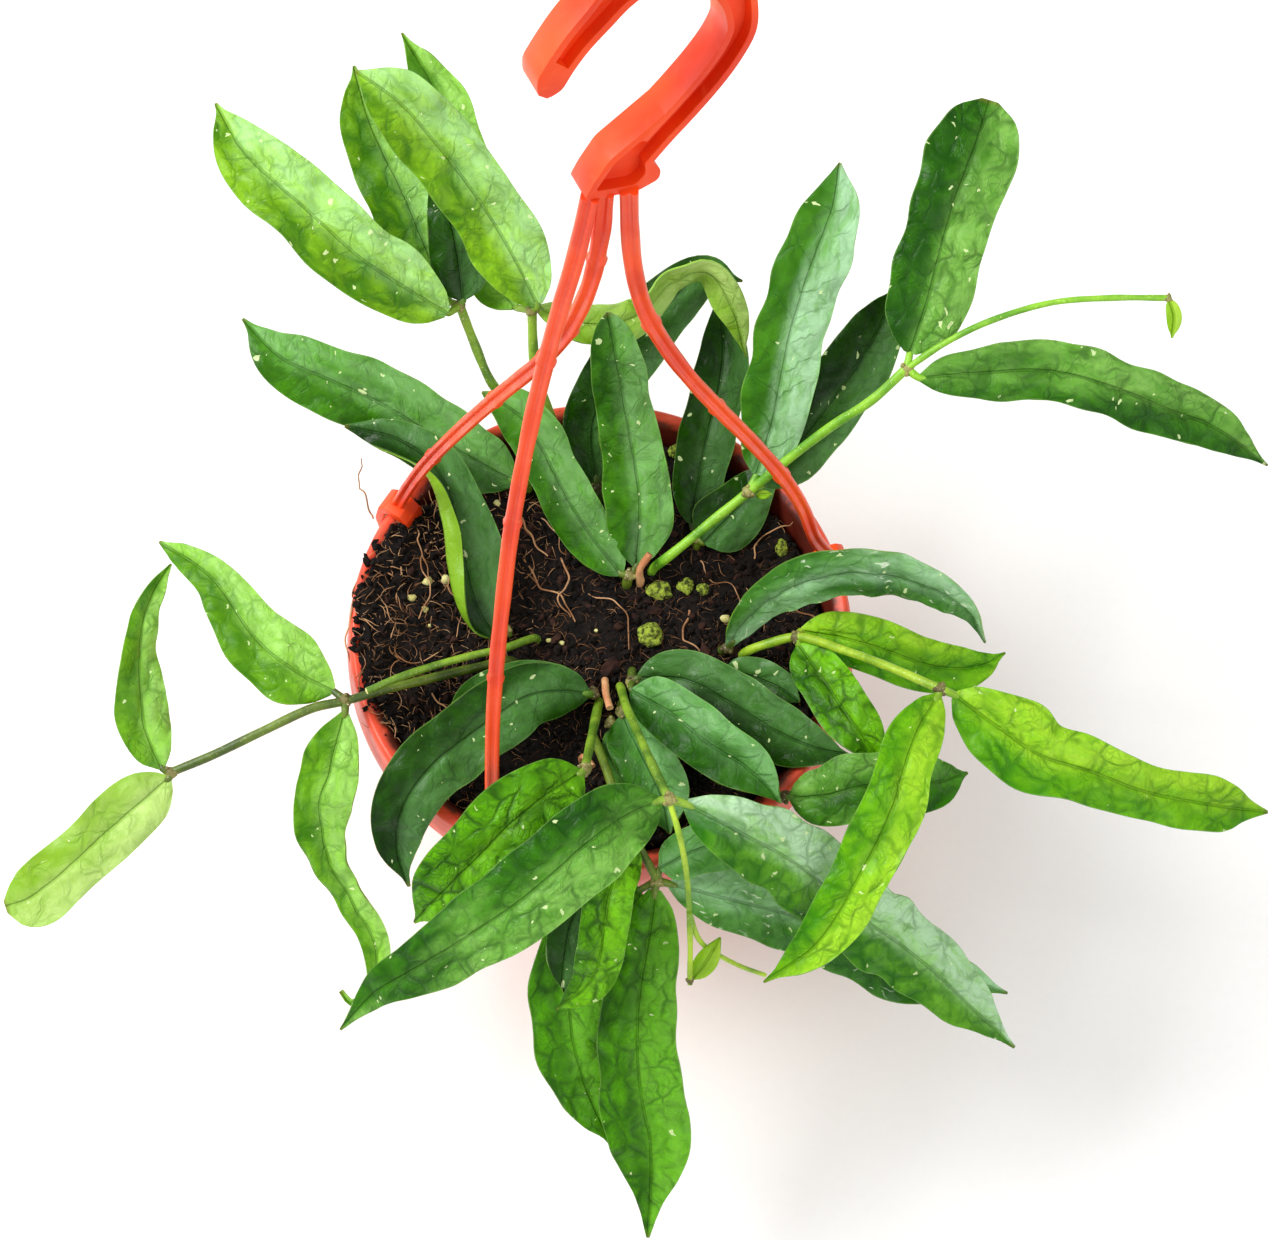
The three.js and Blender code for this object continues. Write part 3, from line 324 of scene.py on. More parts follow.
def rounded(corners: Pairs, radius: float, steps: int = 4) -> list[tuple[float, float]]:
    """Rounds the corners of a closed outline.

    Args:
        corners: The outline's corners.
        radius: How far from each corner its round starts.
        steps: Points in each round, less one.

    Returns:
        The rounded outline.
    """
    made: list[tuple[float, float]] = []
    for i, corner in enumerate(corners):
        here = np.array(corner, float)
        ends = []
        for other in (corners[i - 1], corners[(i + 1) % len(corners)]):
            leg = np.array(other, float) - here
            ends.append(here + leg * min(0.45, radius / max(float(np.linalg.norm(leg)), 1e-9)))
        for k in range(steps + 1):
            t = k / steps
            point = (1 - t) ** 2 * ends[0] + 2 * t * (1 - t) * here + t**2 * ends[1]
            made.append((float(point[0]), float(point[1])))
    return made


def prism(outline: Pairs, low: float, high: float) -> tuple[np.ndarray, list[list[int]]]:
    """Extrudes an outline that runs anticlockwise.

    Args:
        outline: The outline's points.
        low: Where the prism starts.
        high: Where it ends.

    Returns:
        Its points and faces.
    """
    n = len(outline)
    points = np.array([(u, v, w) for w in (low, high) for u, v in outline], float)
    sides = [[i, (i + 1) % n, n + (i + 1) % n, n + i] for i in range(n)]
    return points, [list(range(n))[::-1], list(range(n, 2 * n)), *sides]


def placed(points: np.ndarray, matrix: Matrix) -> np.ndarray:
    """Returns points moved by a matrix."""
    turn = np.array(matrix)
    return points @ turn[:3, :3].T + turn[:3, 3]


def remade(piece: Piece) -> Piece:
    """Turns a piece's modifiers into plain mesh.

    Args:
        piece: The piece.

    Returns:
        The same piece.
    """
    graph = bpy.context.evaluated_depsgraph_get()
    mesh = bpy.data.meshes.new_from_object(piece.evaluated_get(graph), depsgraph=graph)
    piece.modifiers.clear()
    piece.data = mesh
    mesh.name = piece.name
    return piece


def carve(piece: Piece, tool: Piece, operation: str) -> Piece:
    """Joins a tool to a piece, or cuts it away.

    Args:
        piece: The piece that is changed.
        tool: The piece that is used up.
        operation: UNION or DIFFERENCE.

    Returns:
        The changed piece.
    """
    modifier = piece.modifiers.new("carve", "BOOLEAN")
    modifier.object, modifier.operation, modifier.solver = tool, operation, "EXACT"
    remade(piece)
    bpy.data.objects.remove(tool)
    return piece


def softened(piece: Piece, width: float, least: float) -> Piece:
    """Rounds a piece's edges.

    Args:
        piece: The piece.
        width: Width of the round in metres.
        least: Edges that turn less than this many degrees are left.

    Returns:
        The same piece.
    """
    soft = piece.modifiers.new("edges", "BEVEL")
    soft.width, soft.segments = width, 3
    soft.limit_method, soft.angle_limit = "ANGLE", math.radians(least)
    remade(piece)
    piece.data.shade_smooth()
    piece.data.set_sharp_from_angle(angle=math.radians(35))
    return piece


def tube_faces(rings: int, sides: int) -> list[list[int]]:
    """Returns the faces of a closed tube of rings of points, with both ends shut.

    Args:
        rings: How many rings there are.
        sides: Points in each ring.

    Returns:
        The faces.
    """
    last = (rings - 1) * sides
    around = [list(face) for face in grid_faces(rings, sides, closed=True)]
    return [*around, list(range(sides))[::-1], list(range(last, last + sides))]


def finished(piece: Piece, slot: str, *nodes: str) -> Piece:
    """Hands a finished piece over to the frame.

    Args:
        piece: The piece.
        slot: Not used.
        *nodes: The solids it stands for.

    Returns:
        The piece.
    """
    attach(piece, BODY)
    if nodes:
        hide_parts(*nodes)
    LOG.info("%s: %d faces", piece.name, len(piece.data.polygons))
    return piece


# ---- Shader graphs ----
class Wiring:
    """A tree of nodes that is wired in code."""

    PREFIX = ""
    tree: bpy.types.NodeTree

    def feed(self, socket: Socket, value: Socket | float | Sequence[float]) -> None:
        """Links a socket to a value, or sets it.

        Args:
            socket: The socket.
            value: What it takes.
        """
        if isinstance(value, Socket):
            self.tree.links.new(value, socket)
        else:
            socket.default_value = value

    def node(self, kind: str, inputs: dict | None = None, **settings: object) -> bpy.types.Node:
        """Adds a node.

        Args:
            kind: The node's type, without the tree's prefix.
            inputs: What its sockets take, by name or number.
            **settings: What its own fields are.

        Returns:
            The node.
        """
        node = self.tree.nodes.new(self.PREFIX + kind)
        for key, value in settings.items():
            setattr(node, key, value)
        for key, value in (inputs or {}).items():
            self.feed(node.inputs[key], value)
        return node


class Graph(Wiring):
    """Lays out the shader nodes of one material."""

    PREFIX = "ShaderNode"

    def __init__(self, name: str) -> None:
        """Starts a material.

        Args:
            name: The material's name.
        """
        self.material = bpy.data.materials.new(name)
        self.material.use_nodes = True
        self.tree = self.material.node_tree
        self.shader = self.tree.nodes["Principled BSDF"]

    def math(self, operation: str, *values: Socket | float) -> Socket:
        """Returns the result of a sum on numbers."""
        return self.node("Math", dict(enumerate(values)), operation=operation).outputs[0]

    def mix(self, factor: Socket | float, first: Socket | Colour, second: Socket | Colour) -> Socket:
        """Returns first turned into second by a factor."""
        return self.node("Mix", {0: factor, 6: first, 7: second}, data_type="RGBA").outputs[2]

    def rise(self, value: Socket, low: float, high: float, start: float = 0, end: float = 1) -> Socket:
        """Returns a smooth rise from start to end as the value goes from low to high."""
        inputs = {"Value": value, "From Min": low, "From Max": high, "To Min": start, "To Max": end}
        return self.node("MapRange", inputs, interpolation_type="SMOOTHSTEP").outputs[0]

    def times(self, first: Socket | float, second: Socket | float) -> Socket:
        """Returns the product of two values."""
        return self.math("MULTIPLY", first, second)

    def noise(self, vector: Socket, scale: float, detail: float = 2, roughness: float = 0.5) -> Socket:
        """Returns cloudy noise from 0 to 1."""
        inputs = {"Vector": vector, "Scale": scale, "Detail": detail, "Roughness": roughness}
        return self.node("TexNoise", inputs).outputs[0]

    def cells(self, vector: Socket, scale: float, feature: str = "F1") -> bpy.types.Node:
        """Returns a node of cells scattered without order."""
        return self.node("TexVoronoi", {"Vector": vector, "Scale": scale}, feature=feature)

    def stretched(self, vector: Socket, *scale: float) -> Socket:
        """Returns a vector scaled along its axes."""
        return self.node("Mapping", {"Vector": vector, "Scale": scale}).outputs[0]

    def value(self, name: str) -> Socket:
        """Returns a surface value of the piece as a vector."""
        return self.node("Attribute", attribute_name=name).outputs["Vector"]

    def split(self, vector: Socket) -> tuple[Socket, Socket, Socket]:
        """Returns the three parts of a vector."""
        outputs = self.node("SeparateXYZ", {0: vector}).outputs
        return outputs[0], outputs[1], outputs[2]

    def warped(self, vector: Socket, scale: float, reach: float) -> Socket:
        """Pushes a vector about by noise.

        Args:
            vector: The vector.
            scale: Scale of the noise.
            reach: Twice the furthest that it is pushed.

        Returns:
            The pushed vector.
        """
        cloud = self.node("TexNoise", {"Vector": vector, "Scale": scale}).outputs[1]
        middle = {0: cloud, 1: (0.5, 0.5, 0.5)}
        centred = self.node("VectorMath", middle, operation="SUBTRACT").outputs[0]
        inputs = {0: centred, 1: (reach, reach, 0), 2: vector}
        return self.node("VectorMath", inputs, operation="MULTIPLY_ADD").outputs[0]

    def place(self) -> Socket:
        """Returns the place on the piece in metres."""
        return self.node("TexCoord").outputs["Object"]

    def bump(self, height: Socket, depth: float, strength: float = 1.0) -> None:
        """Gives the shader a relief of a depth in metres."""
        inputs = {"Height": height, "Distance": depth, "Strength": strength}
        self.feed(self.shader.inputs["Normal"], self.node("Bump", inputs).outputs[0])

    def done(self, **sockets: Socket | float | Sequence[float]) -> Material:
        """Sets the shader's sockets, with _ for a space in their names, and returns the material."""
        for name, value in sockets.items():
            self.feed(self.shader.inputs[name.replace("_", " ")], value)
        return self.material


@dataclass(frozen=True)
class LeafFinish:
    """The waxy skin of a leaf: two greens with a painted lit half, a net of veins, silvery painted
    sheen, flecks and a pale edge.
    """

    name: str
    deep: Colour
    light: Colour
    vein: Colour
    # Colour of the silvery painted sheen
    painted_sheen: Colour = rgb(150, 210, 130)
    under: Colour = rgb(132, 178, 40)
    net: float = 0.5
    ribs: float = 0.5
    # Strength of the painted sheen on the painted lit half
    silver: float = 0.3
    flecks: float = 0.3
    streaks: float = 0.0
    # Strength of the painted sheen along the middle
    sheen: float = 0.15
    gloss: float = 0.34
    fleck: Colour = rgb(216, 234, 170)
    edge: Colour = rgb(150, 196, 96)

    STREAK = rgb(225, 240, 210)
    DRY_TIP = rgb(110, 110, 40)
    RELIEF = 0.65 * MM
    MIDRIB = (0.1, 0.7)  # millimetres from the middle, where the midrib's mask fades
    CENTRE = (0.4, 4.6)  # the same for the sheen along the middle

    def material(self) -> Material:
        """Makes the material.

        Returns:
            The material.
        """
        graph = Graph("leaf_" + self.name)
        blade = graph.value("blade")
        edge, side, station = graph.split(graph.value("spot"))
        bent = graph.warped(graph.warped(blade, 0.1, 7.0), 0.45, 1.6)
        across = graph.math("ABSOLUTE", graph.split(blade)[0])
        midrib = graph.rise(across, *self.MIDRIB, 1, 0)
        veins, pillow = self._veins(graph, bent, edge)
        cloud = graph.noise(graph.stretched(blade, 0.08, 0.025, 1), 1.0, 3, 0.6)
        # Painted light: the half of the blade turned towards the eye's right is painted lighter, the
        # other half darker
        lit = graph.split(graph.value("lit"))[0]
        lit = graph.math("MULTIPLY_ADD", graph.math("SUBTRACT", cloud, 0.5), 1.6, lit)
        lit = graph.rise(lit, -0.36, 0.46)

        # The green, by patches, by the painted lit half and by the net
        patches = graph.noise(graph.stretched(bent, 0.06, 0.03, 1), 1.0, 4, 0.6)
        patches = graph.rise(patches, 0.38, 0.62)
        fresh = graph.math("MULTIPLY_ADD", patches, 0.45, graph.times(lit, 0.7))
        green = graph.mix(fresh, self.deep, self.light)
        green = graph.mix(graph.times(pillow, 0.55 * self.net), green, self.light)
        mottle = graph.rise(graph.noise(bent, 0.55, 4, 0.6), 0.42, 0.72, 0, 0.42)
        green = graph.mix(mottle, green, self.deep)

        # Silvery painted sheen, on the painted lit half and along the middle
        streaky = graph.noise(graph.stretched(bent, 0.4, 0.1, 1), 1.0, 3, 0.65)
        broken = graph.rise(streaky, 0.3, 0.62, 0.45, 1)
        painted_sheen = graph.times(graph.math("POWER", lit, 1.5), broken)
        green = graph.mix(graph.times(painted_sheen, 1.5 * self.silver), green, self.painted_sheen)
        inner, early = graph.rise(across, *self.CENTRE, 1, 0), graph.rise(station, 0.55, 0.92, 1, 0.2)
        centre = graph.times(inner, early)
        centre = graph.times(centre, graph.rise(streaky, 0.34, 0.6, 0.3, 1))
        green = graph.mix(graph.times(centre, self.sheen), green, self.painted_sheen)

        # Veins, pale streaks and flecks
        faint = graph.rise(cloud, 0.35, 0.65, 0.2, 0.55 - 0.4 * self.sheen)
        rib = graph.times(midrib, faint)
        green = graph.mix(graph.math("MAXIMUM", veins, rib), green, self.vein)
        streak = graph.noise(graph.stretched(bent, 0.7, 0.14, 1), 1.0, 2, 0.7)
        green = graph.mix(graph.rise(streak, 0.64, 0.74, 0, self.streaks), green, self.STREAK)
        torn = graph.warped(bent, 0.9, 1.4)
        for squeeze, scale, size in ((0.7, 0.15, 0.13), (0.8, 0.4, 0.25)):
            flecks = self._flecks(graph, graph.stretched(torn, 1.0, squeeze, 1), scale, size)
            green = graph.mix(flecks, green, self.fleck)

        # The edge, the dry tip and the lower side
        green = graph.mix(graph.rise(edge, 0.965, 0.985, 0, 0.3), green, self.edge)
        green = graph.mix(graph.rise(edge, 0.985, 0.998, 0, 0.4), green, self.vein)
        green = graph.mix(graph.rise(station, 0.975, 1.0, 0, 0.6), green, self.DRY_TIP)
        green = graph.mix(graph.rise(side, -0.4, 0.2, 0.8, 0), green, self.under)

        swell = graph.times(pillow, 0.6 * self.net + 0.2)
        relief = graph.math("MULTIPLY_ADD", veins, -0.8, swell)
        relief = graph.math("MULTIPLY_ADD", midrib, -0.8, relief)
        relief = graph.math("MULTIPLY_ADD", graph.noise(bent, 1.2, 3), 0.25, relief)
        graph.bump(relief, self.RELIEF, 0.85)
        patchy = graph.noise(bent, 0.5, 3)
        rough = graph.rise(patchy, 0.3, 0.7, self.gloss - 0.05, self.gloss + 0.12)
        return graph.done(
            Base_Color=green,
            Roughness=rough,
            Specular_IOR_Level=0.13,
            Coat_Weight=0.04,
            Coat_Roughness=0.2,
        )

    def _veins(self, graph: Graph, bent: Socket, edge: Socket) -> tuple[Socket, Socket]:
        """Lays out the side ribs and the net between them.

        Args:
            graph: The material's graph.
            bent: The place on the blade in millimetres, pushed about.
            edge: Share of the way from the midrib to the edge.

        Returns:
            The mask of veins, and the soft rise of the skin between them.
        """
        across, lengthwise, _ = graph.split(bent)
        outward = graph.math("ABSOLUTE", across)
        lean = graph.math("MULTIPLY_ADD", outward, -RIB_SLANT, lengthwise)
        from_rib = graph.math("PINGPONG", lean, RIB_SPACING / 2)
        thin, fading = graph.rise(from_rib, 0.0, 0.75, 1, 0), graph.rise(edge, 0.6, 0.95, 1, 0)
        rib = graph.times(graph.times(thin, fading), self.ribs)
        wide = graph.cells(graph.stretched(bent, 1.0, 0.72, 1.0), 0.165, "DISTANCE_TO_EDGE")
        close = graph.cells(graph.stretched(bent, 1.0, 0.8, 1.0), 0.5, "DISTANCE_TO_EDGE")
        coarse, fine = wide.outputs["Distance"], close.outputs["Distance"]
        net = graph.times(graph.rise(coarse, 0.0, 0.13, 0.9, 0), self.net)
        lace = graph.times(graph.rise(fine, 0.0, 0.16, 0.4, 0), self.net)
        lines = graph.math("MAXIMUM", graph.math("MAXIMUM", net, lace), rib)
        worn = graph.rise(graph.noise(bent, 0.13, 3), 0.34, 0.62, 0.12, 0.85)
        return graph.times(lines, worn), graph.rise(coarse, 0.0, 0.4)

    def _flecks(self, graph: Graph, vector: Socket, scale: float, size: float) -> Socket:
        """Returns a mask of pale flecks, each in a cell of its own.

        Args:
            graph: The material's graph.
            vector: The place on the blade in millimetres.
            scale: Cells in a millimetre.
            size: Largest radius, as a share of a cell.

        Returns:
            The mask.
        """
        cells = graph.cells(vector, scale)
        chance, spread, _ = graph.split(cells.outputs["Color"])
        radius = graph.times(graph.math("POWER", spread, 1.15), size)
        inside = graph.math("SUBTRACT", radius, cells.outputs["Distance"])
        spot = graph.rise(inside, -0.01, 0.02, 0, 0.75)
        crowd = graph.noise(vector, 0.3 * scale, 2)
        dense = graph.rise(crowd, 0.4, 0.62, 0.12 * self.flecks, 0.9 * self.flecks)
        return graph.times(spot, graph.math("LESS_THAN", chance, dense))


@dataclass(frozen=True)
class StemFinish:
    """Green or drying bark with freckles and darker scars."""

    name: str
    main: Colour
    shade: Colour
    freckle: Colour
    rough: float = 0.45

    def material(self) -> Material:
        """Makes the material.

        Returns:
            The material.
        """
        graph = Graph("stem_" + self.name)
        place = graph.place()
        colour = graph.mix(graph.rise(graph.noise(place, 90, 3), 0.35, 0.65), self.shade, self.main)
        streak = graph.noise(graph.stretched(place, 900, 900, 250), 1.0, 3)
        colour = graph.mix(graph.rise(streak, 0.5, 0.75, 0, 0.45), colour, self.shade)
        freckles = graph.rise(graph.noise(place, 1500, 1), 0.66, 0.74, 0, 0.8)
        colour = graph.mix(freckles, colour, self.freckle)
        graph.bump(graph.noise(place, 700, 4), 0.3 * MM, 0.6)
        return graph.done(Base_Color=colour, Roughness=self.rough)


@dataclass(frozen=True)
class PlasticFinish:
    """Moulded plastic with soft clouds of colour, scuffs and specks of soil, and inside the pot a soil
    stain with painted shade.
    """

    name: str
    main: Colour
    deep: Colour
    pale: Colour
    specks: float = 0.4
    rough: float = 0.34
    worn: float = 0.5
    # Whether the inner wall above the soil gets the soil stain and painted shade
    stained_and_shaded_inside: bool = False

    SPECK = rgb(70, 35, 25)
    # Inside the pot the wall above the soil is painted dark: partly a soil stain, partly painted shade
    # in that recess
    INSIDE_STAIN_AND_SHADE = rgb(34, 14, 9)
    DARK_INSIDE_REACH = (0.0742, 0.0762)  # metres from the axis, where the soil stain and painted shade end
    DARK_INSIDE_START = (0.1, 0.102)  # heights in metres, where it starts
    DARK_INSIDE_END = (0.116, 0.1185)  # and where it ends, raggedly

    def material(self) -> Material:
        """Makes the material.

        Returns:
            The material.
        """
        graph = Graph("plastic_" + self.name)
        place = graph.place()
        colour = graph.mix(graph.rise(graph.noise(place, 38, 3), 0.38, 0.66), self.main, self.deep)
        scuffs = graph.noise(graph.stretched(place, 160, 160, 520), 1.0, 4, 0.6)
        colour = graph.mix(graph.rise(scuffs, 0.56, 0.78, 0, self.worn), colour, self.pale)
        specks = graph.rise(graph.noise(place, 420, 2, 0.7), 0.7, 0.78, 0, self.specks)
        colour = graph.mix(specks, colour, self.SPECK)
        # Soil stain and painted shade on the inner wall above the soil
        if self.stained_and_shaded_inside:
            east, north, up = graph.split(place)
            squares = [graph.times(part, part) for part in (east, north)]
            reach = graph.math("SQRT", graph.math("ADD", *squares))
            ragged = graph.math("MULTIPLY_ADD", graph.noise(place, 130, 4, 0.6), 0.006, up)
            near = graph.rise(reach, *self.DARK_INSIDE_REACH, 1, 0)
            inside = graph.times(near, graph.rise(up, *self.DARK_INSIDE_START, 0, 0.9))
            stain_and_shade = graph.times(inside, graph.rise(ragged, *self.DARK_INSIDE_END, 1, 0))
            colour = graph.mix(stain_and_shade, colour, self.INSIDE_STAIN_AND_SHADE)
        graph.bump(graph.noise(place, 260, 3), 0.12 * MM, 0.5)
        patchy = graph.noise(place, 120, 3)
        rough = graph.rise(patchy, 0.3, 0.7, self.rough - 0.06, self.rough + 0.16)
        return graph.done(
            Base_Color=colour,
            Roughness=rough,
            Specular_IOR_Level=0.4,
            Coat_Weight=0.06,
            Coat_Roughness=0.2,
        )


@dataclass(frozen=True)
class EarthFinish:
    """Dry crumbly stuff: peat, bark or pumice."""

    name: str
    main: Colour
    dark: Colour
    light: Colour
    grain: float = 700.0
    amount: float = 0.35
    depth: float = 0.6 * MM

    def material(self) -> Material:
        """Makes the material.

        Returns:
            The material.
        """
        graph = Graph("earth_" + self.name)
        place = graph.place()
        patches = graph.rise(graph.noise(place, self.grain * 0.3, 4), 0.35, 0.62)
        colour = graph.mix(patches, self.dark, self.main)
        grains = graph.rise(graph.noise(place, self.grain, 3, 0.7), 0.55, 0.75, 0, self.amount)
        colour = graph.mix(grains, colour, self.light)
        graph.bump(graph.noise(place, self.grain * 0.6, 5, 0.65), self.depth)
        return graph.done(Base_Color=colour, Roughness=0.92, Specular_IOR_Level=0.25)


# ---- Geometry trees ----
class Rig(Wiring):
    """A geometry tree built in code, with named inputs, and run on a mesh to give plain mesh."""

    KINDS = {float: "NodeSocketFloat", int: "NodeSocketInt", "object": "NodeSocketObject",
             "material": "NodeSocketMaterial"}

    def __init__(self, name: str, inputs: dict[str, type | str]) -> None:
        """Starts a tree.

        Args:
            name: The tree's name.
            inputs: The kind of each input after the mesh.
        """
        self.tree = bpy.data.node_groups.new(name, "GeometryNodeTree")
        sockets = self.tree.interface
        sockets.new_socket("Mesh", in_out="INPUT", socket_type="NodeSocketGeometry")
        self.names = {
            label: sockets.new_socket(label, in_out="INPUT", socket_type=self.KINDS[kind]).identifier
            for label, kind in inputs.items()
        }
        sockets.new_socket("Mesh", in_out="OUTPUT", socket_type="NodeSocketGeometry")
        self.given = self.tree.nodes.new("NodeGroupInput").outputs

    def end(self, geometry: Socket) -> None:
        """Closes the tree: instances become real and take the finish.

        Args:
            geometry: What the tree has made.
        """
        real = self.node("GeometryNodeRealizeInstances", {0: geometry}).outputs[0]
        soft = self.node("GeometryNodeSetShadeSmooth", {0: real}).outputs[0]
        dressed = self.node("GeometryNodeSetMaterial", {0: soft, "Material": self.given["Finish"]})
        self.node("NodeGroupOutput", {0: dressed.outputs[0]})

    def run(self, name: str, mesh: bpy.types.Mesh, **values: object) -> Piece:
        """Runs the tree on a mesh.

        Args:
            name: The new piece's name.
            mesh: The mesh that goes in.
            **values: The inputs, by name.

        Returns:
            The piece as plain mesh.
        """
        piece = link(bpy.data.objects.new(name, mesh))
        modifier = piece.modifiers.new("rig", "NODES")
        modifier.node_group = self.tree
        for label, value in values.items():
            modifier[self.names[label]] = value
        return remade(piece)


class Tubes(Rig):
    """Sweeps a round section along every line of a mesh, as thick as its thick value says."""

    def __init__(self) -> None:
        """Builds the tree."""
        super().__init__("swept_tubes", {"Sides": int, "Finish": "material"})
        line = self.node("GeometryNodeMeshToCurve", {0: self.given["Mesh"]}).outputs[0]
        around = {"Resolution": self.given["Sides"], "Radius": 1.0}
        circle = self.node("GeometryNodeCurvePrimitiveCircle", around).outputs[0]
        thick = self.node("GeometryNodeInputNamedAttribute", {"Name": "thick"}, data_type="FLOAT")
        inputs = {"Curve": line, "Profile Curve": circle, "Scale": thick.outputs[0], "Fill Caps": True}
        self.end(self.node("GeometryNodeCurveToMesh", inputs).outputs[0])

    def along(
        self, name: str, lines: Sequence[tuple[np.ndarray, np.ndarray]], sides: int, finish: Material
    ) -> Piece:
        """Makes tubes along lines.

        Args:
            name: The piece's name.
            lines: The points of each line and the radius at each.
            sides: Sides of the section.
            finish: The tubes' material.

        Returns:
            The piece.
        """
        points = np.concatenate([line for line, _ in lines])
        edges: list[tuple[int, int]] = []
        start = 0
        for line, _ in lines:
            edges += [(n, n + 1) for n in range(start, start + len(line) - 1)]
            start += len(line)
        mesh = bpy.data.meshes.new(name)
        mesh.from_pydata(points.tolist(), edges, [])
        layer = mesh.attributes.new("thick", "FLOAT", "POINT")
        layer.data.foreach_set("value", np.concatenate([radii for _, radii in lines]))
        return self.run(name, mesh, Sides=sides, Finish=finish)


class Scatter(Rig):
    """Strews turned and sized copies of a bit over a surface."""

    def __init__(self) -> None:
        """Builds the tree."""
        kinds: dict[str, type | str] = {
            "Bit": "object", "Density": float, "Smallest": float, "Largest": float, "Tilt": float,
            "Seed": int, "Finish": "material",
        }
        super().__init__("strewn_bits", kinds)
        given = self.given
        inputs = {"Mesh": given["Mesh"], "Density": given["Density"], "Seed": given["Seed"]}
        points = self.node("GeometryNodeDistributePointsOnFaces", inputs)
        tilt, seed = given["Tilt"], given["Seed"]
        low = self.node("ShaderNodeCombineXYZ", {0: tilt, 1: tilt, 2: math.pi}).outputs[0]
        down = self.node("ShaderNodeVectorMath", {0: low, 3: -1.0}, operation="SCALE").outputs[0]
        inputs = {"Min": down, "Max": low, "Seed": seed}
        turn = self.node("FunctionNodeRandomValue", inputs, data_type="FLOAT_VECTOR").outputs[0]
        spin = self.node("FunctionNodeEulerToRotation", {0: turn}).outputs[0]
        inputs = {0: points.outputs["Rotation"], 1: spin}
        lying = self.node("FunctionNodeRotateRotation", inputs, rotation_space="LOCAL").outputs[0]
        size = self.node("FunctionNodeRandomValue", {"Seed": seed}, data_type="FLOAT")
        self.tree.links.new(given["Smallest"], size.inputs[2])
        self.tree.links.new(given["Largest"], size.inputs[3])
        bit = self.node("GeometryNodeObjectInfo", {"Object": given["Bit"]}).outputs["Geometry"]
        spots, sizes = points.outputs["Points"], size.outputs[1]
        inputs = {"Points": spots, "Instance": bit, "Rotation": lying, "Scale": sizes}
        self.end(self.node("GeometryNodeInstanceOnPoints", inputs).outputs[0])


# ---- Leaves and stems ----
class Shape(Enum):
    """Outlines of leaves: the share of the full width at places from base to tip."""

    OBLONG = ((0, 0.14), (0.04, 0.5), (0.13, 0.84), (0.32, 1), (0.6, 0.98), (0.78, 0.82), (0.9, 0.44),
              (0.96, 0.14), (1, 0.04))
    SHOULDERED = ((0, 0.14), (0.04, 0.5), (0.13, 0.86), (0.3, 1), (0.5, 0.96), (0.7, 0.98),
                  (0.84, 0.84), (0.92, 0.5), (0.97, 0.2), (1, 0.04))
    TAPERED = ((0, 0.14), (0.05, 0.55), (0.14, 0.92), (0.26, 1), (0.5, 0.86), (0.75, 0.78),
               (0.88, 0.66), (0.96, 0.38), (1, 0.06))
    OVATE = ((0, 0.14), (0.04, 0.55), (0.13, 0.9), (0.28, 1), (0.5, 0.9), (0.7, 0.66), (0.86, 0.36),
             (0.94, 0.14), (1, 0.03))
    LANCE = ((0, 0.12), (0.06, 0.42), (0.2, 0.82), (0.42, 1), (0.6, 0.92), (0.78, 0.6), (0.9, 0.26),
             (0.96, 0.1), (1, 0.04))
    OBOVATE = ((0, 0.14), (0.05, 0.45), (0.18, 0.76), (0.4, 0.86), (0.62, 0.98), (0.72, 0.96),
               (0.82, 0.62), (0.91, 0.26), (1, 0.04))
    BLUNT = ((0, 0.14), (0.04, 0.5), (0.13, 0.88), (0.3, 1), (0.5, 0.93), (0.7, 1), (0.85, 0.96),
             (0.94, 0.7), (1, 0.2))
    WAISTED = ((0, 0.14), (0.04, 0.55), (0.13, 0.9), (0.26, 1), (0.44, 0.8), (0.6, 0.7), (0.75, 0.72),
               (0.86, 0.6), (0.94, 0.24), (1, 0.04))
    NARROWING = ((0, 0.14), (0.06, 0.6), (0.16, 0.94), (0.28, 1), (0.44, 0.84), (0.6, 0.64),
                 (0.75, 0.5), (0.88, 0.32), (0.95, 0.15), (1, 0.04))
    TAILED = ((0, 0.14), (0.06, 0.6), (0.15, 0.95), (0.28, 1), (0.42, 0.74), (0.55, 0.56), (0.68, 0.52),
              (0.78, 0.42), (0.86, 0.2), (0.93, 0.12), (1, 0.08))


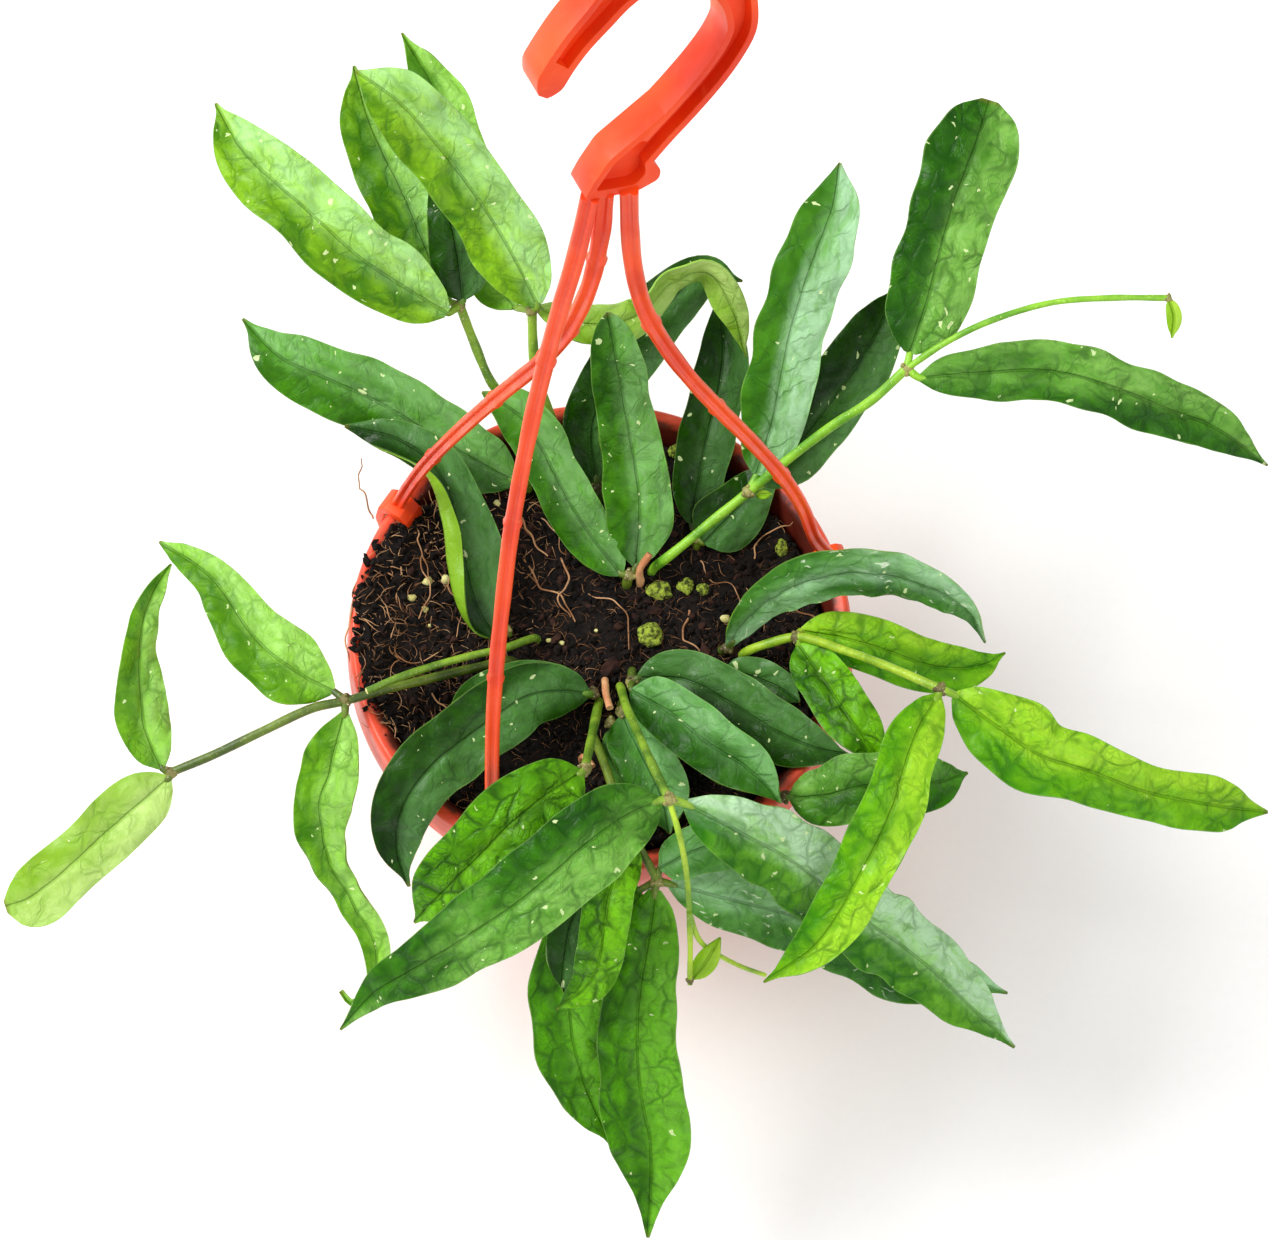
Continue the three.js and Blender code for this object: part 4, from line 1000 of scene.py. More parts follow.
class Tone(Enum):
    """The leaf finishes, from fresh growth to old shaded leaves."""

    LIGHT = LeafFinish("light", rgb(59, 112, 1), rgb(159, 217, 33), rgb(45, 99, 16), rgb(164, 214, 142),
                       net=0.5, ribs=0.5, silver=0.5, flecks=0.5, sheen=0.25)
    DARK = LeafFinish("dark", rgb(13, 43, 1), rgb(46, 102, 4), rgb(15, 46, 12), rgb(106, 152, 94),
                      net=0.3, ribs=0.4, silver=0.3, flecks=0.75, sheen=0.12, gloss=0.3)
    DEEP = LeafFinish("deep", rgb(36, 87, 0), rgb(98, 182, 0), rgb(21, 69, 2), rgb(128, 184, 72),
                      net=0.7, ribs=0.35, silver=0.25, flecks=0.4)
    MATURE = LeafFinish("mature", rgb(30, 79, 2), rgb(82, 154, 13), rgb(33, 77, 17), rgb(134, 180, 118),
                        net=0.4, ribs=0.45, silver=0.35, flecks=0.85, sheen=0.35)
    BLUE = LeafFinish("blue", rgb(27, 76, 4), rgb(67, 139, 15), rgb(29, 74, 23), rgb(132, 182, 122),
                      net=0.4, ribs=0.6, silver=0.4, flecks=0.5, sheen=0.2)
    NETTED = LeafFinish("netted", rgb(19, 68, 1), rgb(62, 132, 4), rgb(25, 71, 9), rgb(144, 196, 94),
                        net=0.75, ribs=0.4, silver=0.4, flecks=0.5, sheen=0.12)
    VIVID = LeafFinish("vivid", rgb(34, 88, 0), rgb(108, 187, 0), rgb(20, 65, 1), rgb(150, 204, 60),
                       net=1.0, ribs=0.3, silver=0.12, flecks=0.4)
    BRIGHT = LeafFinish("bright", rgb(55, 109, 1), rgb(126, 190, 28), rgb(49, 109, 7),
                        rgb(172, 220, 122), net=0.6, ribs=0.5, silver=0.35, flecks=0.4)
    LIME = LeafFinish("lime", rgb(52, 124, 0), rgb(122, 192, 10), rgb(46, 104, 2), rgb(188, 226, 62),
                      net=0.8, ribs=0.45, silver=0.3, flecks=0.35)
    GLAZED = LeafFinish("glazed", rgb(37, 103, 3), rgb(129, 202, 47), rgb(30, 84, 12),
                        rgb(176, 214, 168), net=0.6, ribs=0.4, silver=0.8, flecks=0.5, sheen=0.3)
    SILVER = LeafFinish("silver", rgb(46, 102, 8), rgb(93, 166, 32), rgb(39, 91, 26),
                        rgb(156, 200, 152), net=0.35, ribs=0.6, silver=0.75, flecks=0.35, sheen=0.6)
    STREAKED = LeafFinish("streaked", rgb(36, 89, 17), rgb(103, 175, 63), rgb(32, 79, 35),
                          rgb(170, 212, 168), net=0.3, ribs=0.45, silver=0.55, flecks=0.5, sheen=0.4,
                          streaks=0.8, gloss=0.22)
    YOUNG = LeafFinish("young", rgb(129, 174, 40), rgb(170, 202, 110), rgb(103, 154, 27),
                       rgb(198, 228, 132), net=0.45, ribs=0.5, silver=0.25, flecks=0.2)
    BUD = LeafFinish("bud", rgb(116, 168, 8), rgb(155, 196, 38), rgb(92, 143, 12), rgb(182, 218, 96),
                     net=0.2, ribs=0.3, silver=0.15, flecks=0.1)


def cloud(u: np.ndarray, v: np.ndarray, size: float, seed: int) -> np.ndarray:
    """Makes smooth random hills from a handful of waves.

    Args:
        u: First coordinate.
        v: Second coordinate.
        size: Typical distance between hills.
        seed: Fixes the waves.

    Returns:
        Heights from about -1 to 1.
    """
    waves = 9
    draw = np.random.default_rng(seed)
    angles, phases = draw.uniform(0, math.tau, (2, waves))
    rates = math.tau / size * draw.uniform(0.6, 1.5, waves)
    total = sum(
        np.sin(rate * (u * math.cos(angle) + v * math.sin(angle)) + phase)
        for rate, angle, phase in zip(rates, angles, phases)
    )
    return total / math.sqrt(waves)


@dataclass(frozen=True)
class Blade:
    """One leaf: its midrib from base to tip, width, outline and finish, and how it turns and bends."""

    path: Sequence[Place]
    width: float
    shape: Shape
    tone: Tone
    roll: tuple[float, ...] = (0,)
    fold: tuple[float, float] = (8, 8)
    curl: tuple[float, float] = (-14, -14)
    wave: float = 0.8
    waves: float = 2.5

    ROW = 1.7 * MM
    HALF_COLUMNS = 13
    THICKNESS = 0.95 * MM
    THINNER_EDGE = 0.35  # share of the thickness that the edge loses
    KEEL = 0.45 * MM  # how far the midrib stands out below
    # The rest are heights of the relief in millimetres
    HILL = 0.42
    HUMP = 0.16
    RIB = 0.1
    GROOVE = 0.34
    RUFFLE = 0.5

    @cached_property
    def midrib(self) -> Path:
        """The line of the midrib."""
        return Path([EYE.at(*place) for place in self.path])

    def _sections(self, t: np.ndarray, half: np.ndarray) -> tuple[np.ndarray, np.ndarray, np.ndarray]:
        """Lays out the lines across the blade.

        Args:
            t: Shares of the length.
            half: Half the width at each.

        Returns:
            The columns' shares of the half width, and their offsets across and up, row by row.
        """
        columns = np.linspace(0, 1, self.HALF_COLUMNS + 1) ** 0.92
        middles, steps = (columns[1:] + columns[:-1]) / 2, np.diff(columns)
        fade = np.sin(np.pi * np.minimum(1, 0.12 + t))[:, None]
        sides = []
        for k, sign in enumerate((-1, 1)):
            inner = np.radians(self.fold[k]) * np.maximum(0.35, fade)
            bend = np.radians(self.curl[k]) * np.maximum(0, fade)
            angle = inner + bend * smooth(0.1, 0.9, middles)[None, :]
            x = np.cumsum(np.cos(angle) * steps, axis=1) * half[:, None] * sign
            y = np.cumsum(np.sin(angle) * steps, axis=1) * half[:, None]
            ripple = self.wave * MM * np.sin(2 * np.pi * self.waves * t + 1.7 * k) * np.sin(np.pi * t)
            y += ripple[:, None] * columns[1:] ** 2
            sides.append((x, y))
        (lx, ly), (rx, ry) = sides
        rib = np.zeros((len(t), 1))
        x = np.concatenate([lx[:, ::-1], rib, rx], axis=1)
        y = np.concatenate([ly[:, ::-1], rib, ry], axis=1)
        return np.concatenate([-columns[:0:-1], columns]), x, y

    def _relief(self, u: np.ndarray, v: np.ndarray, edge: np.ndarray, number: int) -> np.ndarray:
        """Works out how far the skin rises: hills, side ribs, the midrib's groove, a ruffled edge.

        Args:
            u: Millimetres out from the midrib.
            v: Millimetres along it.
            edge: Share of the way from the midrib to the edge.
            number: The leaf's number.

        Returns:
            The rise in millimetres.
        """
        lean = v - RIB_SLANT * np.abs(u)
        relief = self.HILL * cloud(u, v, 17, number) + self.HUMP * cloud(u, v, 7, number + 500)
        relief = relief + self.RIB * np.cos(math.tau * lean / RIB_SPACING) * smooth(1, 0.7, edge)
        relief = relief - self.GROOVE * np.exp(-((u / 1.1) ** 2))
        return relief + self.RUFFLE * cloud(v * 1.0, np.sign(u) * 40, 13, number + 900) * edge**4

    @staticmethod
    def _faces(rows: int, columns: int) -> list[Iterable[int]]:
        """Lays out the faces of the upper skin, of the lower skin and of the edge between them.

        Args:
            rows: Rows of points in a skin.
            columns: Points in a row.

        Returns:
            The faces. The lower skin's points follow the upper skin's.
        """
        under = rows * columns
        left = [n * columns for n in range(rows - 1, -1, -1)]
        right = [n * columns + columns - 1 for n in range(rows)]
        ring = [*left, *range(1, columns - 1), *right, *range(under - 2, under - columns, -1)]
        around = [[a, under + a, under + b, b] for a, b in zip(ring, ring[1:] + ring[:1])]
        return [*grid_faces(rows, columns), *grid_faces(rows, columns, under)[:, ::-1], *around]

    def add_to(self, shell: Shell, number: int, finish: int) -> None:
        """Adds the leaf's closed body to a shell.

        Args:
            shell: The shell that takes it.
            number: The leaf's number, which sets its own unevenness.
            finish: The number of its material.
        """
        length = self.midrib.length
        rows = max(10, round(length / self.ROW))
        t = np.linspace(0, 1, rows + 1)
        middle, forward = self.midrib.at(t), self.midrib.forward(t)
        turns = np.array(self.roll, float)
        roll = turns[0] + 0 * t
        if len(turns) > 1:
            roll = along(list(zip(np.linspace(0, 1, len(turns)), turns)), t)
        across = unit(np.cross(forward, EYE.place - middle))
        turn = np.radians(roll)[:, None]
        across = across * np.cos(turn) + np.cross(forward, across) * np.sin(turn)
        upper = np.cross(across, forward)
        half = np.maximum(0.3 * MM, self.width * MM / 2 * along(self.shape.value, t))
        shares, x, y = self._sections(t, half)
        edge = np.abs(shares)[None, :] + 0 * x
        # Painted light: each half of the blade gets a value by how far it turns towards the eye's right
        # and a little up, and the material paints that half lighter
        lit = shares[None, :] * (across @ unit(EYE.right + 0.3 * EYE.up))[:, None]

        u = x / MM
        v = (t * length / MM)[:, None] + 0 * x
        calm = (smooth(0, 0.08, t) * smooth(1, 0.9, t))[:, None] * min(1, self.width / 12)
        y = y + self._relief(u, v, edge, number) * calm * MM
        wander = cloud(v, np.sign(shares)[None, :] * 60, 21, number + 300)
        x = x * (1 + 0.05 * wander * edge**3 * calm)

        surface = middle[:, None, :] + across[:, None, :] * x[..., None]
        surface = surface + upper[:, None, :] * y[..., None]
        normal = unit(np.cross(np.gradient(surface, axis=1), np.gradient(surface, axis=0)))
        body = self.THICKNESS / 2 * (1 - self.THINNER_EDGE * edge**4)
        keel = self.KEEL * np.exp(-(u**2)) * calm
        top = surface + normal * body[..., None]
        bottom = surface - normal * (body + keel)[..., None]
        blade = np.stack([u, v, 0 * u + 7.3 * number], axis=-1).reshape(-1, 3)
        down = t[:, None] + 0 * u
        spots = [np.stack([edge, 0 * u + side, down], axis=-1).reshape(-1, 3) for side in (1, -1)]
        shell.add(
            np.concatenate([top.reshape(-1, 3), bottom.reshape(-1, 3)]),
            self._faces(rows + 1, len(shares)),
            finish,
            blade=np.concatenate([blade, blade]),
            spot=np.concatenate(spots),
            lit=np.repeat(np.tile(lit.reshape(-1, 1), (2, 1)), 3, axis=1),
        )

    def stalk(self, node: Place) -> tuple[np.ndarray, np.ndarray]:
        """Lays out the short stalk from a node of the stem into the blade.

        Args:
            node: The place of the node.

        Returns:
            The stalk's points and radii.
        """
        near, far = self.midrib.at(np.array([0.012, 0.07]))
        line = Path([EYE.at(*node), self.midrib.at(0)[0], near, far])
        shares = np.linspace(0, 1, 12)
        slim = min(1.0, self.width / 16)
        drop = -1.9 * MM * slim * smooth(0.3, 0.8, shares)[:, None] * EYE.toward
        swell = 1.1 + 0.25 * np.exp(-((shares / 0.25) ** 2))
        return line.at(shares) + drop, swell * slim * MM * (1 - 0.65 * smooth(0.45, 1, shares))


FOOT = None
ROOT_DEPTHS = (13.0, 6.5, -2.5)


@dataclass(frozen=True)
class Stem:
    """A stem: its radius and its route. A first height of FOOT stands for the height of the soil."""

    radius: float
    route: Sequence[tuple[float, float, float | None]]
    bark: "Bark | None" = None

    def line(self, soil: "Soil") -> tuple[np.ndarray, np.ndarray]:
        """Lays out the stem.

        Args:
            soil: The soil it may stand in.

        Returns:
            Its points and the radius at each.
        """
        (px, py, height), *rest = self.route
        if height is FOOT:
            surface = soil.ground(px, py)
            feet = [surface - np.array([0, 0, depth * MM]) for depth in ROOT_DEPTHS]
        else:
            feet = [EYE.at(px, py, height)]
        path = Path([*feet, *(EYE.at(*place) for place in rest)])
        count = max(6, round(path.length / (2.0 * MM)))
        shares = np.linspace(0, 1, count + 1)
        uneven = 1 + 0.05 * cloud(shares * path.length / MM, shares, 15, round(px + py))
        return path.at(shares), self.radius * MM * uneven * (1 - 0.1 * shares)


@dataclass(frozen=True)
class Node:
    """A node of a stem, where leaves grow."""

    place: Place
    leaves: tuple[Blade, ...]


class Bark(Enum):
    """The finishes of stems."""

    GREEN = StemFinish("green", rgb(138, 176, 44), rgb(78, 118, 22), rgb(190, 200, 120))
    DARK = StemFinish("dark", rgb(106, 130, 34), rgb(60, 82, 16), rgb(162, 160, 84))
    LIME = StemFinish("lime", rgb(178, 210, 50), rgb(118, 160, 26), rgb(214, 222, 130))
    FRESH = StemFinish("fresh", rgb(142, 200, 44), rgb(88, 152, 22), rgb(196, 222, 120))
    NODE = StemFinish("node", rgb(150, 146, 80), rgb(80, 70, 34), rgb(230, 220, 184), 0.6)
    DRY = StemFinish("dry", rgb(236, 180, 128), rgb(186, 118, 74), rgb(248, 218, 180), 0.75)


def lump(
    centre: np.ndarray, size: Sequence[float], seed: int, detail: int = 3, rough: float = 0.2
) -> tuple[np.ndarray, list[list[int]]]:
    """Makes an uneven rounded lump.

    Args:
        centre: Its centre in metres.
        size: Its half sizes in metres.
        seed: Fixes its unevenness.
        detail: How finely it is divided.
        rough: Depth of the unevenness as a share of its size.

    Returns:
        Its points and faces.
    """
    ball = bmesh.new()
    bmesh.ops.create_icosphere(ball, subdivisions=detail, radius=1)
    points = []
    for vertex in ball.verts:
        shift = vertex.co * 1.3 + Vector((seed * 3.1, seed * 1.7, 0))
        swell = 1 + rough * noise.noise(shift) + rough * 0.45 * noise.noise(shift * 3)
        points.append([centre[k] + vertex.co[k] * swell * size[k] for k in range(3)])
    faces = [[v.index for v in face.verts] for face in ball.faces]
    ball.free()
    return np.array(points), faces


@dataclass(frozen=True)
class Sprig:
    """A leafy stem: its stems, nodes, stalks and leaves."""

    name: str
    stems: tuple[Stem, ...]
    nodes: tuple[Node, ...]
    bark: Bark = Bark.GREEN

    def build(self, soil: "Soil", tubes: Tubes, bench: "Bench", first: int) -> int:
        """Makes the leaves and the stems.

        Args:
            soil: The soil the stems stand in.
            tubes: The tree that sweeps stems.
            bench: Holds the materials.
            first: Number of the first leaf.

        Returns:
            The number of the next leaf.
        """
        leaves = [leaf for node in self.nodes for leaf in node.leaves]
        tones = list(dict.fromkeys(leaf.tone for leaf in leaves))
        shell = Shell()
        for number, leaf in enumerate(leaves, first):
            leaf.add_to(shell, number, tones.index(leaf.tone))
        materials = [bench.finish(tone) for tone in tones]
        finished(shell.piece(self.name + "_blades", materials, 50), "leaf", self.name)
        groups = {self.bark: [leaf.stalk(node.place) for node in self.nodes for leaf in node.leaves]}
        for stem in self.stems:
            groups.setdefault(stem.bark or self.bark, []).append(stem.line(soil))
        for bark, lines in groups.items():
            stems = tubes.along(f"{self.name}_{bark.value.name}_stems", lines, 12, bench.finish(bark))
            finished(stems, "stem", self.name)
        knots = Shell()
        for seed, node in enumerate(self.nodes, first):
            self._knot(knots, node, seed)
        finished(knots.piece(self.name + "_knots", [bench.finish(Bark.NODE)]), "stem", self.name)
        return first + len(leaves)

    def _knot(self, shell: Shell, node: Node, seed: int) -> None:
        """Adds a node's swelling and its few scars to a shell.

        Args:
            shell: The shell that takes them.
            node: The node.
            seed: Fixes their unevenness.
        """
        centre = EYE.at(*node.place)
        small = 0.6 if max(leaf.width for leaf in node.leaves) < 8 else 1.0
        size = 1.95 * MM * small
        shell.add(*lump(centre, (size, size, size * 0.9), seed))
        for k in range(3):
            angle = 2.1 * k + seed
            side = EYE.right * math.cos(angle) + EYE.up * math.sin(angle) + 0.5 * EYE.toward
            scar = 0.75 * MM * small
            shell.add(*lump(centre + unit(side) * size * 0.95, (scar, scar, scar * 1.3), seed + k, 2))


SPRIGS: tuple[Sprig, ...] = (
    Sprig("stem_back_left", (
        Stem(1.6, [(540, 473, FOOT), (529, 450, 114), (515, 420, 124), (503, 398, 131), (490, 380, 137),
            (473, 340, 147), (460, 306, 156)]),
    ), (
        Node((459, 306, 156), (
            Blade([(447, 313, 160), (366, 262, 172), (306, 209, 180), (246, 154, 184), (216, 104, 182)],
                23.5, Shape.OBLONG, Tone.LIGHT),
            Blade([(447, 300, 156), (425, 245, 160), (402, 190, 166), (372, 128, 175), (354, 66, 183)],
                23, Shape.OBLONG, Tone.LIGHT),
            Blade([(463, 300, 158), (456, 245, 168), (445, 195, 176), (434, 155, 180)],
                17, Shape.OVATE, Tone.DARK),
        )),
    )),
    Sprig("stem_back_middle", (
        Stem(1.7, [(566, 472, FOOT), (560, 446, 115), (549, 412, 126), (536, 376, 137), (533, 342, 148),
            (532, 312, 157)]),
    ), (
        Node((532, 310, 158), (
            Blade([(538, 305, 161), (517, 263, 170), (494, 223, 178), (467, 183, 186), (436, 143, 194),
                (401, 104, 203), (356, 71, 207)], 23, Shape.SHOULDERED, Tone.LIGHT),
            Blade([(515, 307, 153), (488, 272, 148), (472, 219, 150), (459, 163, 156), (442, 103, 163),
                (402, 33, 172)], 19, Shape.OBLONG, Tone.BRIGHT),
            Blade([(537, 308, 157), (585, 324, 153), (635, 318, 151), (672, 283, 158), (705, 273, 160),
                (732, 308, 152), (746, 356, 138)],
                13, Shape.OBLONG, Tone.YOUNG, roll=(-20, -10, 40, 60, 20, -20), fold=(4, 4),
                curl=(-6, -6)),
        )),
    )),
    Sprig("leaf_back_long", (
        Stem(1.5, [(600, 500, FOOT), (598, 487, 109)]),
    ), (
        Node((598, 487, 109), (
            Blade([(597, 483, 110), (592, 432, 118), (608, 386, 128), (636, 344, 138), (667, 306, 146),
                (705, 273, 151), (742, 281, 146)], 20, Shape.OBLONG, Tone.DARK),
        )),
    ), Bark.DARK),
    Sprig("leaves_centre", (
        Stem(1.8, [(627, 584, FOOT), (629, 576, 109)]),
    ), (
        Node((630, 575, 109), (
            Blade([(637, 566, 110), (640, 505, 121), (629, 430, 137), (617, 362, 154), (608, 312, 166)],
                21.5, Shape.TAPERED, Tone.MATURE),
            Blade([(621, 574, 109), (592, 537, 114), (572, 506, 120), (556, 476, 126), (540, 445, 131),
                (519, 415, 135), (482, 392, 139)], 17.5, Shape.SHOULDERED, Tone.MATURE),
        )),
    ), Bark.DARK),
    Sprig("leaves_back_right", (
        Stem(1.6, [(697, 546, FOOT), (697, 538, 108)]),
    ), (
        Node((697, 538, 108), (
            Blade([(692, 524, 108), (700, 470, 114), (711, 420, 121), (722, 370, 127), (722, 325, 131),
                (716, 296, 133)], 17.5, Shape.OBLONG, Tone.DARK),
            Blade([(704, 543, 109), (738, 508, 113), (778, 462, 118)], 20, Shape.OVATE, Tone.DARK),
        )),
    ), Bark.DARK),
    Sprig("stem_right", (
        Stem(1.6, [(652, 573, FOOT), (668, 557, 116), (683, 545, 119), (716, 518, 124.5),
            (746, 494, 130), (786, 461, 141), (832, 426, 153), (872, 400, 163), (905, 370, 171)]),
        Stem(1, [(905, 370, 171), (940, 346, 178), (985, 323, 184), (1050, 303, 189), (1110, 298, 192),
            (1168, 298, 192)]),
    ), (
        Node((748, 492, 131), (
            Blade([(757, 474, 134), (773, 420, 147), (790, 335, 166), (813, 262, 181), (833, 208, 189),
                (840, 163, 193)], 22, Shape.SHOULDERED, Tone.SILVER),
            Blade([(763, 485, 128), (801, 439, 136), (843, 385, 146), (877, 332, 154), (900, 284, 160)],
                21.5, Shape.OBLONG, Tone.DARK),
            Blade([(756, 495, 130), (772, 494, 131)], 3, Shape.LANCE, Tone.BUD, wave=0),
        )),
        Node((907, 369, 171), (
            Blade([(910, 353, 173), (928, 300, 181), (942, 245, 190), (955, 200, 198), (974, 150, 204),
                (990, 101, 207)], 26, Shape.BLUNT, Tone.NETTED),
            Blade([(920, 378, 171), (980, 373, 173), (1050, 371, 173), (1110, 386, 171),
                (1165, 408, 166), (1215, 428, 159), (1267, 465, 147)], 18, Shape.OBLONG, Tone.NETTED),
        )),
        Node((1168, 298, 192), (
            Blade([(1169, 299, 192), (1174, 316, 190), (1172, 338, 186)],
                4.5, Shape.LANCE, Tone.BUD, wave=0),
        )),
    ), Bark.FRESH),
    Sprig("leaf_right_arch", (
        Stem(1.5, [(722, 652, FOOT), (727, 648, 108.5)]),
    ), (
        Node((727, 648, 108.5), (
            Blade([(728, 647, 109), (749, 617, 121), (786, 590, 133), (832, 575, 141), (875, 574, 143),
                (915, 582, 141), (948, 597, 136), (971, 616, 128), (985, 642, 117)],
                17, Shape.LANCE, Tone.STREAKED, roll=(30,), curl=(-24, -24)),
        )),
    ), Bark.DARK),
    Sprig("stem_lower_right", (
        Stem(1.5, [(742, 658, FOOT), (752, 649, 113), (770, 643, 116.5), (797, 637, 121),
            (849, 652, 132), (892, 668, 142), (938, 688, 150)]),
    ), (
        Node((797, 637, 121), (
            Blade([(801, 631, 120), (839, 637, 121), (882, 649, 120), (918, 662, 117), (952, 669, 114),
                (981, 666, 113), (1005, 653, 113)], 17, Shape.OBLONG, Tone.LIME),
            Blade([(799, 645, 121), (825, 682, 125), (845, 712, 128), (865, 738, 128), (884, 764, 124)],
                16.5, Shape.OBLONG, Tone.VIVID),
        )),
        Node((940, 689, 150), (
            Blade([(955, 695, 150), (995, 725, 151), (1040, 755, 149), (1090, 771, 146),
                (1140, 790, 140), (1200, 803, 132), (1267, 812, 120)], 23.5, Shape.WAISTED, Tone.LIME),
            Blade([(938, 696, 150), (919, 729, 154), (905, 766, 156), (895, 802, 155), (876, 845, 151),
                (856, 882, 145), (836, 918, 139), (812, 949, 132), (764, 982, 122)],
                17.5, Shape.OBLONG, Tone.LIME),
        )),
    ), Bark.LIME),
    Sprig("leaves_front_right", (
        Stem(1.6, [(632, 674, FOOT), (632, 682, 111)]),
    ), (
        Node((632, 682, 112), (
            Blade([(638, 678, 113), (683, 679, 116), (733, 704, 117), (776, 731, 117), (816, 748, 118),
                (850, 755, 118)], 19.5, Shape.OBLONG, Tone.DARK),
            Blade([(632, 691, 116), (671, 713, 123), (708, 743, 126), (741, 763, 127), (764, 783, 127),
                (781, 803, 126)], 18, Shape.OBLONG, Tone.BLUE),
        )),
    ), Bark.DARK),
    Sprig("leaf_under_right", (
        Stem(1.3, [(718, 668, FOOT), (722, 669, 107.5)]),
    ), (
        Node((722, 669, 107.5), (
            Blade([(726, 669, 108), (760, 679, 110), (785, 691, 111), (800, 702, 111)],
                12, Shape.OBLONG, Tone.DARK, wave=0.3),
        )),
    ), Bark.DARK),
    Sprig("leaf_front_far_right", (
        Stem(1.5, [(735, 762, FOOT), (748, 776, 114), (764, 790, 118), (784, 797, 119)]),
    ), (
        Node((784, 797, 119), (
            Blade([(790, 797, 120), (822, 796, 124), (865, 786, 128), (905, 783, 127), (938, 782, 122),
                (967, 773, 117)], 20, Shape.OBLONG, Tone.NETTED),
        )),
    )),
    Sprig("stem_front", (
        Stem(1.4, [(620, 689, FOOT), (626, 706, 124), (638, 733, 140), (652, 764, 153),
            (668, 797, 165)]),
        Stem(0.9, [(668, 797, 165), (678, 830, 162), (686, 870, 150), (690, 930, 132),
            (690, 984, 118)], Bark.LIME),
        Stem(0.8, [(689, 912, 138), (700, 941, 125), (715, 953, 119), (740, 966, 113),
            (765, 975, 105)], Bark.LIME),
    ), (
        Node((669, 799, 165), (
            Blade([(659, 801, 165), (622, 819, 170), (586, 845, 172), (552, 875, 170), (519, 902, 166),
                (485, 925, 160), (450, 948, 152), (412, 971, 143), (376, 992, 133), (341, 1029, 119)],
                24.5, Shape.OVATE, Tone.NETTED),
            Blade([(686, 804, 164), (739, 832, 158), (789, 859, 144), (836, 895, 126), (872, 925, 113),
                (905, 948, 102), (938, 975, 92), (972, 1008, 82), (1014, 1047, 70)],
                24.5, Shape.OBLONG, Tone.GLAZED),
        )),
        Node((690, 980, 119), (
            Blade([(692, 979, 119), (706, 962, 121), (720, 938, 125)],
                6.5, Shape.LANCE, Tone.BUD, wave=0),
        )),
    )),
    Sprig("leaf_front_left", (
        Stem(1.5, [(599, 704, FOOT), (596, 716, 113), (590, 745, 130), (585, 768, 150)]),
    ), (
        Node((585, 769, 150), (
            Blade([(581, 773, 151), (545, 796, 155), (506, 829, 153), (476, 860, 147), (444, 891, 137),
                (415, 922, 124)], 24, Shape.OBLONG, Tone.VIVID),
        )),
    )),
    Sprig("leaves_left_low", (
        Stem(1.6, [(594, 696, FOOT), (593, 693, 112)]),
    ), (
        Node((593, 693, 112), (
            Blade([(588, 694, 114), (565, 691, 118), (528, 696, 123), (492, 719, 125), (459, 743, 125),
                (430, 768, 125), (404, 805, 121), (397, 848, 108), (409, 886, 98)],
                21.5, Shape.OBLONG, Tone.DARK, roll=(0, 0, 0, 10, 30)),
            Blade([(583, 692, 111), (520, 687, 113.5), (480, 704, 115), (449, 738, 116)],
                17, Shape.OBLONG, Tone.DARK, wave=0.3, curl=(-6, -6)),
        )),
    )),
    Sprig("leaf_under_front_left", (
        Stem(1.3, [(611, 721, FOOT), (611, 722, 108.5)]),
    ), (
        Node((611, 723, 108.5), (
            Blade([(613, 728, 108.5), (621, 765, 109), (641, 805, 109)],
                9, Shape.OBLONG, Tone.MATURE, wave=0.2, curl=(-4, -4), fold=(3, 3)),
        )),
    ), Bark.DARK),
    Sprig("leaf_under_front", (
        Stem(1.5, [(621, 706, FOOT), (622, 712, 110)]),
    ), (
        Node((622, 712, 111), (
            Blade([(623, 715, 111), (643, 757, 114), (662, 797, 114), (670, 834, 113)],
                18, Shape.OBLONG, Tone.BLUE, wave=0.4),
        )),
    ), Bark.DARK),
    Sprig("stem_front_hanging", (
        Stem(1.4, [(592, 737, FOOT), (603, 760, 115), (618, 802, 121), (637, 842, 123),
            (657, 880, 121)]),
    ), (
        Node((657, 881, 120), (
            Blade([(655, 890, 119), (650, 930, 114), (640, 990, 102), (637, 1042, 92), (642, 1102, 79),
                (650, 1141, 71), (651, 1177, 63), (648, 1237, 50)], 27, Shape.OBOVATE, Tone.DEEP),
            Blade([(640, 890, 116), (602, 915, 109), (575, 960, 100), (570, 1015, 89), (582, 1075, 77),
                (612, 1146, 63)], 24, Shape.OBLONG, Tone.DEEP),
            Blade([(670, 884, 119), (740, 902, 114), (799, 918, 106), (856, 945, 96), (905, 971, 84),
                (955, 976, 74), (1007, 993, 66)], 21, Shape.OBLONG, Tone.STREAKED),
            Blade([(660, 868, 122), (700, 849, 125), (740, 841, 127), (775, 841, 127)],
                15, Shape.OBLONG, Tone.BLUE),
        )),
        Node((637, 842, 123), (
            Blade([(635, 846, 124), (612, 885, 131), (604, 925, 128), (600, 955, 121), (590, 983, 112),
                (557, 1009, 102)], 14.5, Shape.OBLONG, Tone.VIVID),
            Blade([(628, 846, 122), (592, 880, 124), (571, 925, 119), (566, 950, 113), (563, 975, 108),
                (565, 994, 105)], 13, Shape.OBLONG, Tone.DARK),
        )),
    ), Bark.DARK),
    Sprig("stem_left", (
        Stem(1.5, [(512, 664, FOOT), (470, 669, 114), (420, 681, 117.5), (380, 691, 120),
            (345, 701, 121), (313, 708, 121), (263, 731, 119), (213, 755, 116), (172, 772, 113)]),
    ), (
        Node((345, 700, 121), (
            Blade([(333, 691, 121), (297, 672, 124), (257, 640, 126), (212, 578, 126), (160, 542, 120)],
                22.5, Shape.NARROWING, Tone.BRIGHT),
            Blade([(345, 713, 120), (333, 760, 114), (321, 810, 104), (329, 860, 94), (354, 905, 86),
                (376, 945, 80), (371, 985, 76), (352, 1003, 74), (341, 991, 74)],
